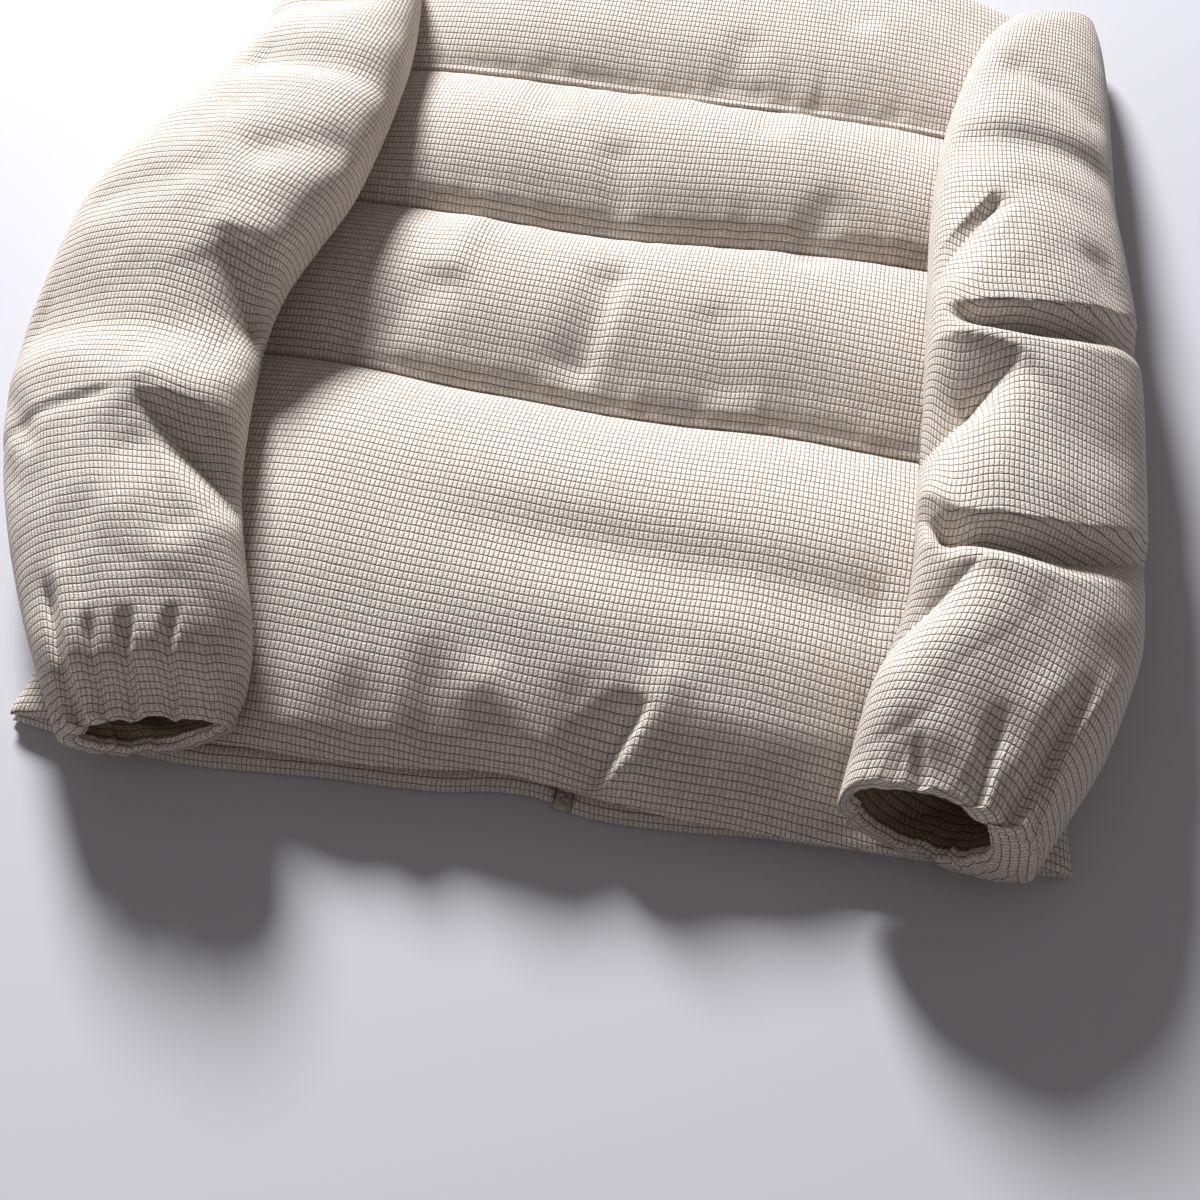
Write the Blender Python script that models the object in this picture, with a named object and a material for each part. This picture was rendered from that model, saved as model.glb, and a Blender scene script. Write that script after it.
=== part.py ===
"""Padded jacket, laid face down with its sleeves folded down along its back.

The part's frame: +Z up, the resting plane at Z = 0, +Y from the hem to the
collar and +X to the wearer's right. All sizes are in metres. The tables hold
the garment's own measurements, and their first line names the columns.
"""

import math

import bmesh
import bpy
import numpy as np

# Driving sizes
GAP = 0.0003             # between two pieces that are sewn together
SEWN_GAP = -0.0007       # a sleeve over its bed where it is sewn to the shoulder
REST_GAP = 0.0013        # a sleeve over its bed
NECK_GAP = 0.0032        # the collar and the fronts, where the pressed neck seam lies between them
CENTRE_X = -0.0223       # the middle of the whole outline, from the middle of the hem
CENTRE_Y = 0.3616
FRONT_TOP = 0.016        # the padded fronts' height above the resting plane
SIDE_FRONT = 0.005       # the fronts' height at the side seams
SIDE_BACK = 0.012        # the back's height at the side seams
SEAM_TOP = 0.037         # the back's height at its cross seams
ZIP_HALF = 0.0050        # half the width of the zip between the fronts
ZIP_LOW, ZIP_HIGH = 0.0012, 0.0046
ZIP_END = -0.0010        # the zip's lower end, a little past the fronts' hem
COLLAR_TOP = 0.7450

# Half the body's width, a little wider at the hem's corners
OUTLINE = (
    # y, half width
    (-0.020, 0.2910), (0.000, 0.2905), (0.015, 0.2870), (0.035, 0.2840), (0.070, 0.2850), (0.130, 0.2900),
    (0.228, 0.2960), (0.320, 0.2990), (0.385, 0.2950), (0.425, 0.2720), (0.470, 0.2520), (0.520, 0.2430),
    (0.570, 0.2420), (0.610, 0.2480), (0.640, 0.2550), (0.700, 0.2560),
)

# The back's cross seams, its upper edge and the fronts' upper edge
CROSS_LINES = (
    # x, lower seam, upper seam, yoke seam, back's upper edge, fronts' upper edge
    (-0.300, 0.250, 0.380, 0.506, 0.624, 0.624),
    (-0.255, 0.249, 0.379, 0.505, 0.633, 0.633),
    (-0.165, 0.247, 0.377, 0.503, 0.659, 0.659),
    (-0.095, 0.240, 0.374, 0.501, 0.6750, 0.6750),
    (-0.050, 0.238, 0.372, 0.500, 0.6690, 0.6300),
    (0.000, 0.236, 0.373, 0.500, 0.6660, 0.6120),
    (0.050, 0.237, 0.378, 0.501, 0.6690, 0.6300),
    (0.095, 0.240, 0.382, 0.502, 0.6750, 0.6750),
    (0.165, 0.239, 0.385, 0.504, 0.659, 0.659),
    (0.255, 0.241, 0.387, 0.506, 0.633, 0.633),
    (0.300, 0.242, 0.388, 0.507, 0.624, 0.624),
)

# The back's hem, lifted off the fronts in the middle
BACK_HEM = (
    # x, y of the edge, height of its lower side, drop of its upper side
    (-0.292, -0.002, 0.0070, 0.012), (-0.230, -0.003, 0.0110, 0.006), (-0.160, -0.002, 0.0185, 0.002),
    (-0.110, -0.003, 0.0215, 0.000), (-0.060, 0.001, 0.0225, 0.000), (-0.015, 0.007, 0.0225, 0.001),
    (0.030, 0.003, 0.0215, 0.002), (0.080, 0.000, 0.0190, 0.004), (0.130, 0.001, 0.0150, 0.008),
    (0.175, 0.002, 0.0105, 0.013), (0.230, 0.006, 0.0080, 0.017), (0.292, 0.012, 0.0066, 0.017),
)

# The fronts' hem, seen under the back's
FRONT_HEM = (
    # x, y of the edge
    (-0.292, -0.004), (-0.230, -0.011), (-0.180, -0.012), (-0.145, -0.009), (-0.110, -0.006), (-0.068, -0.004),
    (-0.045, -0.002), (-0.020, 0.003), (0.009, 0.003), (0.027, -0.002), (0.045, -0.003), (0.082, -0.001),
    (0.122, 0.003), (0.160, 0.005), (0.220, 0.007), (0.292, 0.011),
)

# The line where the fronts meet
FRONT_OPENING = (
    # y, x
    (-0.030, 0.018), (0.020, 0.018), (0.120, 0.012), (0.260, 0.004), (0.350, 0.0005), (0.450, 0.0),
    (0.550, 0.0), (0.760, 0.0),
)

# Height of each quilted channel of the back along its middle
CHANNELS = {
    # share of the channel from its lower seam to its upper one, height
    "back_hem_panel": ((0.00, 0.036), (0.05, 0.043), (0.12, 0.051), (0.24, 0.059), (0.38, 0.065), (0.60, 0.067),
                       (0.78, 0.062), (0.89, 0.053), (0.96, 0.044), (1.00, SEAM_TOP)),
    "back_mid_panel": ((0.00, SEAM_TOP), (0.06, 0.044), (0.18, 0.051), (0.40, 0.058), (0.60, 0.058), (0.82, 0.051),
                       (0.94, 0.043), (1.00, SEAM_TOP)),
    "back_upper_panel": ((0.00, SEAM_TOP), (0.06, 0.044), (0.18, 0.051), (0.40, 0.057), (0.60, 0.057), (0.82, 0.050),
                         (0.94, 0.043), (1.00, SEAM_TOP)),
    "back_yoke": ((0.00, SEAM_TOP), (0.07, 0.043), (0.20, 0.049), (0.45, 0.050), (0.70, 0.044), (0.90, 0.036),
                  (1.00, 0.028)),
}

# Height that the sleeves lie at along the back's middle, over the crests of its channels
BEDDING = (
    # y, height
    (-0.020, 0.038), (0.000, 0.041), (0.010, 0.048), (0.022, 0.055), (0.045, 0.0635), (0.080, 0.0685),
    (0.150, 0.0690), (0.200, 0.0670), (0.250, 0.0625), (0.310, 0.0600), (0.380, 0.0590), (0.450, 0.0590),
    (0.520, 0.0555), (0.580, 0.0525), (0.640, 0.0470), (0.700, 0.0420),
)

# Where the cuffs press the back down
PRESSED = (
    # x, y, half length across, half length along, depth
    (0.225, 0.012, 0.080, 0.070, 0.018),
    (-0.205, 0.008, 0.070, 0.065, 0.012),
)

# Soft folds of the back: a trough has a depth above zero, a ridge one below zero
BACK_FOLDS = (
    # first point, last point, depth, reach on the left of the line, reach on its right
    ((0.057, 0.060), (0.036, -0.004), 0.0070, 0.012, 0.020),
    ((-0.072, 0.060), (-0.046, 0.000), 0.0035, 0.014, 0.014),
    ((-0.020, 0.140), (0.165, 0.146), 0.0045, 0.026, 0.030),
    ((-0.010, 0.322), (-0.022, 0.262), 0.0045, 0.014, 0.018),
    ((-0.105, 0.370), (-0.117, 0.318), -0.0035, 0.014, 0.014),
)

# Sleeves as rings from the cuff to the shoulder. The wall thins to the cuff.
SLEEVES = {
    # inner x, inner y, outer x, outer y, inner height, outer height, rise, wall, lean
    "right": (
        (0.161, 0.024, 0.283, 0.003, 0.040, 0.024, 0.026, 0.0055, 0.006),
        (0.164, 0.044, 0.289, 0.026, 0.048, 0.027, 0.044, 0.0065, 0.005),
        (0.168, 0.069, 0.296, 0.056, 0.057, 0.028, 0.047, 0.0085, 0.003),
        (0.176, 0.095, 0.303, 0.090, 0.065, 0.030, 0.048, 0.0150, 0.002),
        (0.181, 0.120, 0.311, 0.124, 0.070, 0.032, 0.049, 0.0200, 0.001),
        (0.182, 0.148, 0.312, 0.157, 0.073, 0.034, 0.050, 0.0230, 0.000),
        (0.180, 0.176, 0.312, 0.188, 0.074, 0.035, 0.052, 0.0240, 0.000),
        (0.179, 0.206, 0.311, 0.219, 0.075, 0.036, 0.052, 0.0230, 0.000),
        (0.178, 0.238, 0.309, 0.251, 0.075, 0.036, 0.053, 0.0230, 0.000),
        (0.176, 0.272, 0.307, 0.286, 0.075, 0.036, 0.054, 0.0240, 0.000),
        (0.174, 0.306, 0.304, 0.321, 0.074, 0.036, 0.054, 0.0240, 0.000),
        (0.172, 0.342, 0.300, 0.358, 0.073, 0.035, 0.052, 0.0220, 0.000),
        (0.170, 0.382, 0.294, 0.400, 0.071, 0.033, 0.049, 0.0200, 0.000),
        (0.170, 0.422, 0.288, 0.443, 0.068, 0.030, 0.046, 0.0190, 0.000),
        (0.173, 0.470, 0.285, 0.495, 0.064, 0.026, 0.042, 0.0180, 0.000),
        (0.181, 0.520, 0.282, 0.552, 0.059, 0.023, 0.036, 0.0170, 0.000),
        (0.191, 0.565, 0.277, 0.603, 0.052, 0.021, 0.028, 0.0160, 0.000),
        (0.205, 0.598, 0.270, 0.638, 0.044, 0.021, 0.018, 0.0150, 0.000),
    ),
    "left": (
        (-0.158, 0.000, -0.252, -0.021, 0.038, 0.032, 0.026, 0.0060, 0.004),
        (-0.154, 0.020, -0.266, 0.002, 0.047, 0.034, 0.042, 0.0065, 0.002),
        (-0.158, 0.048, -0.290, 0.039, 0.058, 0.032, 0.046, 0.0085, 0.001),
        (-0.170, 0.080, -0.313, 0.080, 0.066, 0.030, 0.048, 0.0150, 0.001),
        (-0.184, 0.122, -0.335, 0.128, 0.072, 0.030, 0.049, 0.0210, 0.001),
        (-0.191, 0.156, -0.347, 0.166, 0.074, 0.030, 0.052, 0.0240, 0.000),
        (-0.196, 0.190, -0.353, 0.202, 0.075, 0.030, 0.053, 0.0240, 0.000),
        (-0.200, 0.228, -0.356, 0.240, 0.075, 0.030, 0.054, 0.0240, 0.000),
        (-0.198, 0.264, -0.357, 0.276, 0.075, 0.030, 0.055, 0.0240, 0.000),
        (-0.189, 0.300, -0.355, 0.314, 0.075, 0.031, 0.055, 0.0230, 0.000),
        (-0.179, 0.338, -0.348, 0.354, 0.074, 0.031, 0.054, 0.0210, 0.000),
        (-0.175, 0.380, -0.333, 0.400, 0.072, 0.030, 0.050, 0.0200, 0.000),
        (-0.174, 0.425, -0.313, 0.447, 0.069, 0.028, 0.046, 0.0190, 0.000),
        (-0.176, 0.473, -0.298, 0.498, 0.064, 0.025, 0.042, 0.0180, 0.000),
        (-0.183, 0.522, -0.288, 0.556, 0.059, 0.023, 0.036, 0.0170, 0.000),
        (-0.193, 0.566, -0.280, 0.604, 0.052, 0.021, 0.028, 0.0160, 0.000),
        (-0.206, 0.598, -0.271, 0.638, 0.044, 0.021, 0.018, 0.0150, 0.000),
    ),
}
HOLLOW_DEPTH = 1.9                             # the ring where each cuff's hollow ends
SLEEVE_SEAM = {"right": 5.45, "left": 5.0}     # the ring where each sleeve's two lengths are joined

SLEEVE_FOLDS = {
    # first point, last point, depth, reach on the left of the line, reach on its right
    "right": (
        ((0.196, 0.304), (0.302, 0.328), 0.0175, 0.011, 0.014),
        ((0.198, 0.322), (0.290, 0.344), -0.0050, 0.013, 0.009),
        ((0.230, 0.288), (0.182, 0.208), 0.0080, 0.014, 0.018),
        ((0.192, 0.170), (0.302, 0.166), 0.0175, 0.012, 0.016),
        ((0.194, 0.192), (0.298, 0.186), -0.0050, 0.014, 0.010),
        ((0.216, 0.152), (0.176, 0.094), 0.0080, 0.012, 0.016),
        ((0.230, 0.080), (0.219, 0.012), 0.0055, 0.011, 0.011),
        ((0.279, 0.084), (0.240, 0.012), 0.0060, 0.011, 0.011),
        ((0.202, 0.376), (0.174, 0.324), 0.0060, 0.014, 0.018),
    ),
    "left": (
        ((-0.230, 0.266), (-0.188, 0.190), 0.0175, 0.020, 0.013),
        ((-0.234, 0.290), (-0.182, 0.310), -0.0050, 0.014, 0.012),
        ((-0.320, 0.214), (-0.220, 0.206), 0.0080, 0.030, 0.024),
        ((-0.250, 0.162), (-0.184, 0.112), 0.0175, 0.018, 0.012),
        ((-0.252, 0.178), (-0.186, 0.184), -0.0050, 0.013, 0.010),
        ((-0.322, 0.150), (-0.262, 0.164), 0.0040, 0.011, 0.012),
        ((-0.268, 0.044), (-0.232, -0.016), 0.0060, 0.011, 0.011),
        ((-0.215, 0.034), (-0.209, -0.012), 0.0050, 0.011, 0.011),
    ),
}

# How finely each piece is divided
BACK_CELLS = {"back_hem_panel": (26, 14), "back_mid_panel": (26, 8), "back_upper_panel": (26, 6), "back_yoke": (26, 7)}
FRONT_CELLS = (11, 16)
SLEEVE_CELLS = {"lower": (24, 16), "upper": (24, 24)}
COLLAR_CELLS = (30, 4)

CLOTH = (0.596, 0.503, 0.407)
CLOTH_SHADES = {"back": 1.00, "front": 0.97, "sleeve": 1.03, "collar": 1.00}
ZIP_COLOUR = (0.640, 0.610, 0.560)


def smooth(at, table, column=1):
    """A smooth curve through one column of a table, read at its first column."""
    rows = np.asarray(table, float)
    x, y = rows[:, 0], rows[:, column]
    slope = np.gradient(y, x)
    at = np.clip(at, x[0], x[-1])
    i = np.clip(np.searchsorted(x, at, side="right") - 1, 0, len(x) - 2)
    h = x[i + 1] - x[i]
    t = (at - x[i]) / h
    return ((2 * t**3 - 3 * t**2 + 1) * y[i] + (t**3 - 2 * t**2 + t) * h * slope[i]
            + (3 * t**2 - 2 * t**3) * y[i + 1] + (t**3 - t**2) * h * slope[i + 1])


def share(at, low, high):
    """Where at lies between low and high, from 0 to 1, with soft ends."""
    t = np.clip((at - low) / (high - low), 0.0, 1.0)
    return t * t * (3 - 2 * t)


def fold(x, y, first, last, depth, left, right):
    """How much one soft fold lowers the cloth at x, y."""
    dx, dy = last[0] - first[0], last[1] - first[1]
    length = math.hypot(dx, dy)
    along = ((x - first[0]) * dx + (y - first[1]) * dy) / length**2
    off = ((y - first[1]) * dx - (x - first[0]) * dy) / length
    reach = np.where(off > 0, left, right)
    beyond = np.maximum(0, np.maximum(-along, along - 1)) * length
    return depth * np.exp(-((off / reach) ** 2) - (beyond / 0.012) ** 2)


def half_width(y):
    return smooth(y, OUTLINE)


def interface(x, y):
    """Height where the fronts end and the back begins."""
    u = np.clip(np.abs(x) / half_width(y), 0, 1)
    return SIDE_FRONT + (FRONT_TOP - SIDE_FRONT) * np.sqrt(1 - u**5)


def back_lines(x):
    """The y of the back's hem, three cross seams and upper edge at x."""
    return [smooth(x, BACK_HEM)] + [smooth(x, CROSS_LINES, column) for column in (1, 2, 3, 4)]


def back_top(x, y):
    """Height of the back's outer face: quilted channels that flatten to the side seams."""
    lines = back_lines(x)
    height = np.zeros(np.broadcast(x, y).shape)
    for k, rows in enumerate(CHANNELS.values()):
        inside = (y >= lines[k]) if k else np.full(height.shape, True)
        height = np.where(inside, smooth((y - lines[k]) / (lines[k + 1] - lines[k]), rows), height)
    return flattened(x, y, height)


def flattened(x, y, height):
    """A height along the back's middle, as it is at x: lower to the side seams and under the cuffs."""
    hem = smooth(x, BACK_HEM)
    height = height - smooth(x, BACK_HEM, 3) * (1 - share(y, hem, hem + 0.050))
    u = np.clip(np.abs(x) / half_width(y), 0, 1)
    height = SIDE_BACK + (height - SIDE_BACK) * (1 - u**3.2) ** 0.7
    for px, py, across, along, depth in PRESSED:
        height = height - depth * np.exp(-(((x - px) / across) ** 2) - ((y - py) / along) ** 2)
    return np.maximum(height, back_bottom(x, y) + 0.0045)


def back_bottom(x, y):
    """Height of the back's inner face: on the fronts, and lifted along the hem."""
    hem = smooth(x, BACK_HEM)
    lift = np.maximum(smooth(x, BACK_HEM, 2) - interface(x, y) - GAP, 0) * (1 - share(y, hem, hem + 0.070))
    return interface(x, y) + GAP + lift


def support(x, y):
    """What a sleeve lies on: the back, and past its edges a short slope to the resting plane."""
    edge = half_width(y) - 0.002
    low = np.minimum(smooth(x, BACK_HEM), 0.0)
    near = np.clip(x, -edge, edge)
    inside = flattened(near, np.maximum(y, low), smooth(np.maximum(y, low), BEDDING))
    out_side = np.clip((np.abs(x) - edge - 0.004) / 0.034, 0, 1)
    out_hem = np.clip((low - 0.003 - y) / 0.022, 0, 1)
    outside = np.clip(np.hypot(out_side, out_hem), 0, 1)
    return inside * (1 - outside) ** 1.0 + 0.0004


def lying_gap(t):
    """Space under a sleeve at ring number t: closed up where it is sewn to the shoulder."""
    return REST_GAP + (SEWN_GAP - REST_GAP) * share(t, 11.0, 14.0)


def sleeve_ring(side, theta, t):
    """Outer and inner points of a sleeve at the angle theta round it and t, its ring number."""
    rows = np.column_stack([np.arange(len(SLEEVES[side])), SLEEVES[side]])
    ix, iy, ox, oy, iz, oz, rise, wall, lean = (smooth(t, rows, column) for column in range(1, 10))
    cosine, sine = np.cos(theta), np.sin(theta)
    across = 0.5 - 0.5 * np.sign(cosine) * np.abs(cosine) ** 0.86
    # A leaning mouth: its upper lip set back and its lower lip forward
    width = np.hypot(ox - ix, oy - iy)
    back_x, back_y = -np.abs(oy - iy) / width * np.sign(oy - iy) * np.sign(ox - ix), np.abs(ox - ix) / width
    x = ix + (ox - ix) * across + back_x * lean * sine
    y = iy + (oy - iy) * across + back_y * lean * sine
    low = support(x, y) + lying_gap(t)
    line = np.maximum(iz + (oz - iz) * across, low + 0.5 * wall)
    low = np.maximum(low, line - 0.018 - 0.012 * t)
    up = np.clip(sine, 0, 1) ** 0.80
    down = np.clip(-sine, 0, 1) ** 0.75
    dips = sum(fold(x, y, *row) for row in SLEEVE_FOLDS[side])
    height = line + rise * up - dips * up**0.7 + (low - line) * down
    outer = np.stack([x, y, height], axis=-1)

    # The hollow keeps the wall's thickness to the unfolded skin all round
    keep = 1 - 2 * wall / width
    across = 0.5 + (across - 0.5) * keep
    x = ix + (ox - ix) * across + back_x * lean * sine
    y = iy + (oy - iy) * across + back_y * lean * sine
    low = support(x, y) + lying_gap(t)
    line = np.maximum(iz + (oz - iz) * across, low + 0.5 * wall)
    low = np.maximum(low, line - 0.018 - 0.012 * t)
    level = np.sqrt(np.clip(1 - (2 * across - 1) ** 2, 0, 1))
    high = line + rise * level**0.8 - wall
    low = low * level**0.75 + line * (1 - level**0.75) + 0.75 * wall
    middle, half = (high + low) / 2, np.maximum((high - low) / 2, 0.0022)
    inner = np.stack([x, y, middle + half * sine], axis=-1)
    return outer, inner


def material(name, colour, roughness):
    made = bpy.data.materials.new(name)
    made.use_nodes = True
    shader = made.node_tree.nodes["Principled BSDF"]
    shader.inputs["Base Color"].default_value = (*colour, 1.0)
    shader.inputs["Roughness"].default_value = roughness
    shader.inputs["Metallic"].default_value = 0.0
    return made


def finish_piece(name, bm, look):
    """Moves the mesh into the part's frame and shows it as an object of the collection."""
    bmesh.ops.translate(bm, verts=bm.verts, vec=(-CENTRE_X, -CENTRE_Y, 0.0))
    bmesh.ops.triangulate(bm, faces=bm.faces)
    bmesh.ops.recalc_face_normals(bm, faces=bm.faces)
    mesh = bpy.data.meshes.new(name)
    bm.to_mesh(mesh)
    bm.free()
    mesh.shade_smooth()
    mesh.set_sharp_from_angle(angle=math.radians(50))
    mesh.materials.append(look)
    piece = bpy.data.objects.new(name, mesh)
    jacket.objects.link(piece)
    return piece


def put(verts, points):
    for vert, point in zip(verts, points):
        vert.co = point


def slab(name, cells, upper, lower, look, bulge=(0.0, 0.0, 0.0, 0.0)):
    """A padded panel: one grid for each face and a rim with a middle line between them.

    upper and lower give points for u across and v along, both from 0 to 1, and bulge says
    how far the rim swells at v = 0, v = 1, u = 0 and u = 1.
    """
    bm = bmesh.new()
    bmesh.ops.create_grid(bm, x_segments=cells[0], y_segments=cells[1], size=0.5)
    low_verts = list(bm.verts)
    flat = np.array([vert.co[:] for vert in low_verts])
    u, v = flat[:, 0] + 0.5, flat[:, 1] + 0.5
    made = bmesh.ops.extrude_face_region(bm, geom=bm.faces[:], use_keep_orig=True)
    high_verts = [item for item in made["geom"] if isinstance(item, bmesh.types.BMVert)]
    flat_high = np.array([vert.co[:] for vert in high_verts])
    low_points = lower(u, v)
    high_points = upper(flat_high[:, 0] + 0.5, flat_high[:, 1] + 0.5)
    put(low_verts, low_points)
    put(high_verts, high_points)
    if any(bulge):
        place = {vert: (u[k], v[k]) for k, vert in enumerate(low_verts)}
        low_set = set(low_verts)
        rim = [edge for edge in bm.edges if (edge.verts[0] in low_set) != (edge.verts[1] in low_set)]
        for edge in rim:
            foot = edge.verts[0] if edge.verts[0] in low_set else edge.verts[1]
            pu, pv = place[foot]
            sides = (bulge[0] * (pv < 1e-6), bulge[1] * (pv > 1 - 1e-6),
                     bulge[2] * (pu < 1e-6), bulge[3] * (pu > 1 - 1e-6))
            at = np.array([pu]), np.array([pv])
            inward = (at[0] + 0.02 * ((sides[2] > 0) * 1.0 - (sides[3] > 0) * 1.0),
                      at[1] + 0.02 * ((sides[0] > 0) * 1.0 - (sides[1] > 0) * 1.0))
            out = (lower(*at) - lower(*inward))[0] * (1, 1, 0)
            swell = max(sides)
            _, middle = bmesh.utils.edge_split(edge, foot, 0.5)
            place[middle] = swell * out / max(float(np.linalg.norm(out)), 1e-9)
        middles = [vert for vert, step in place.items() if isinstance(step, np.ndarray)]
        for face in [f for f in bm.faces if sum(vert in place and isinstance(place[vert], np.ndarray)
                                                for vert in f.verts) == 2]:
            ends = [vert for vert in face.verts if isinstance(place.get(vert), np.ndarray)]
            bmesh.ops.connect_verts(bm, verts=ends)
        for vert in middles:
            vert.co = vert.co + type(vert.co)(place[vert])
    return finish_piece(name, bm, look)


def tube(name, cells, surfaces, look):
    """A length of sleeve: a grid rolled into a tube whose far end, and near end too with no inner skin, is closed.

    surfaces gives the outer and inner skins for the angle theta round it and v along it.
    The inner skin is extruded from the outer one, and is None in a length whose padding fills it.
    """
    bm = bmesh.new()
    bmesh.ops.create_grid(bm, x_segments=cells[0], y_segments=cells[1], size=0.5)
    hollow = surfaces(np.zeros(1), np.zeros(1))[1] is not None
    for vert in bm.verts:
        angle, along = (vert.co.x + 0.5) * math.tau, vert.co.y + 0.5
        closed = along > 1 - 1e-6 or (along < 1e-6 and not hollow)
        radius = 0.0 if closed else 1.0
        vert.co = (radius * math.cos(angle), radius * math.sin(angle), along)
    bmesh.ops.remove_doubles(bm, verts=bm.verts, dist=1e-5)
    skins = [list(bm.verts)]
    if hollow:
        made = bmesh.ops.extrude_face_region(bm, geom=bm.faces[:], use_keep_orig=True)
        skins.append([item for item in made["geom"] if isinstance(item, bmesh.types.BMVert)])
    for which, verts in enumerate(skins):
        rolled = np.array([vert.co[:] for vert in verts])
        theta = np.mod(np.arctan2(rolled[:, 1], rolled[:, 0]), math.tau)
        put(verts, surfaces(theta, rolled[:, 2])[which])
    return finish_piece(name, bm, look)


def body_point(u, v, low, high):
    """Plan point of a body panel between two lines; both are functions of x."""
    w = 2 * u - 1
    w = 0.55 * w + 0.45 * np.sin(w * math.pi / 2)
    x = w * 0.290
    for _ in range(3):
        y = low(x) + (high(x) - low(x)) * v
        x = w * half_width(y)
    return x, low(x) + (high(x) - low(x)) * v


def ease(v):
    """Rows closer together towards both ends."""
    return 0.5 - 0.5 * np.sin((0.5 - v) * math.pi) * 0.45 - (0.5 - v) * 0.55


def build_back(looks):
    names = list(CHANNELS)
    for k, name in enumerate(names):
        start = GAP / 2 if k else 0.0
        stop = GAP / 2 if k < len(names) - 1 else 0.0

        def low(x, k=k, start=start):
            return back_lines(x)[k] + start

        def high(x, k=k, stop=stop):
            return back_lines(x)[k + 1] - stop

        def upper(u, v, low=low, high=high, k=k):
            x, y = body_point(u, ease(v), low, high)
            seams = np.clip(np.minimum(y - low(x), high(x) - y) / 0.012, 0, 1) if k else share(y, low(x), low(x) + 0.012)
            dips = sum(fold(x, y, *row) for row in BACK_FOLDS) * np.maximum(seams, 0.5 * (k == 0))
            z = np.maximum(back_top(x, y) - dips, back_bottom(x, y) + 0.0040)
            return np.stack([x, y, z], axis=-1)

        def lower(u, v, low=low, high=high):
            x, y = body_point(u, ease(v), low, high)
            return np.stack([x, y, back_bottom(x, y)], axis=-1)

        bulge = (0.0025 if k == 0 else 0.0, 0.0, 0.0015, 0.0015)
        slab(name, BACK_CELLS[name], upper, lower, looks["back"], bulge)


def front_top(x, y, hem, top):
    """Height of a front's inner face, which thins to its hem, its opening and its upper edge."""
    opening = smooth(y, FRONT_OPENING)
    near = np.minimum(np.minimum((y - hem) / 0.045, (top - y + 0.006) / 0.028), (np.abs(x - opening) - ZIP_HALF) / 0.028)
    thin = np.clip(near, 0, 1)
    below = interface(x, y) - 0.0012
    return np.minimum(0.0062, below) + np.maximum(below - 0.0062, 0) * np.sqrt(1 - (1 - thin) ** 2)


def build_fronts(looks):
    for name, side in (("front_left", -1.0), ("front_right", 1.0)):
        def plan(u, v, side=side):
            reach = 0.292 * u
            for _ in range(4):
                x = side * reach
                low, high = smooth(x, FRONT_HEM), smooth(x, CROSS_LINES, 5)
                y = low + (high - low) * v
                inner = side * smooth(y, FRONT_OPENING) + ZIP_HALF + GAP
                reach = inner + (half_width(y) - inner) * u
            return side * reach, y

        def upper(u, v, plan=plan):
            x, y = plan(u, ease(v))
            z = front_top(x, y, smooth(x, FRONT_HEM), smooth(x, CROSS_LINES, 5))
            return np.stack([x, y, z], axis=-1)

        def lower(u, v, plan=plan):
            x, y = plan(u, ease(v))
            return np.stack([x, y, np.zeros_like(x)], axis=-1)

        slab(name, FRONT_CELLS, upper, lower, looks["front"], (0.0012, 0.0, 0.0, 0.0012))


def ring_middle(side, t):
    """The middle of a sleeve's section at ring number t."""
    _, inner = sleeve_ring(side, np.arange(24) * math.tau / 24, np.full(24, float(t)))
    return inner.mean(axis=0)


def build_sleeves(looks):
    """Each sleeve in two lengths. The cuff's hollow closes where the walls come to lie on each other."""
    for side in SLEEVES:
        last, seam = len(SLEEVES[side]) - 1, SLEEVE_SEAM[side]
        inset = GAP / 2 / 0.032

        def lower_length(theta, v, side=side, end=seam - inset):
            outer, _ = sleeve_ring(side, theta, end * np.minimum(v / 0.94, 1.0))
            outer = np.where(v[:, None] > 0.99, ring_middle(side, end), outer)
            _, inner = sleeve_ring(side, theta, HOLLOW_DEPTH * np.minimum(v / 0.9, 1.0))
            closing = share(v, 0.62, 1.0)[:, None]
            return outer, inner + (ring_middle(side, HOLLOW_DEPTH) - inner) * closing

        def upper_length(theta, v, side=side, start=seam + inset, last=last):
            # Rings lie closer together at the folds, which are near the seam
            along = np.clip((v - 0.05) / 0.90, 0, 1)
            t = start + (last - start) * (0.6 * along + 0.4 * along**2)
            outer, _ = sleeve_ring(side, theta, t)
            outer = np.where(v[:, None] < 0.01, ring_middle(side, start), outer)
            end, _ = sleeve_ring(side, np.array([0.0, math.pi]), np.full(2, float(last)))
            return outer + (end.mean(axis=0) - outer) * share(v, 0.94, 1.0)[:, None], None

        tube(f"sleeve_{side}_lower", SLEEVE_CELLS["lower"], lower_length, looks["sleeve"])
        tube(f"sleeve_{side}_upper", SLEEVE_CELLS["upper"], upper_length, looks["sleeve"])


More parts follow.
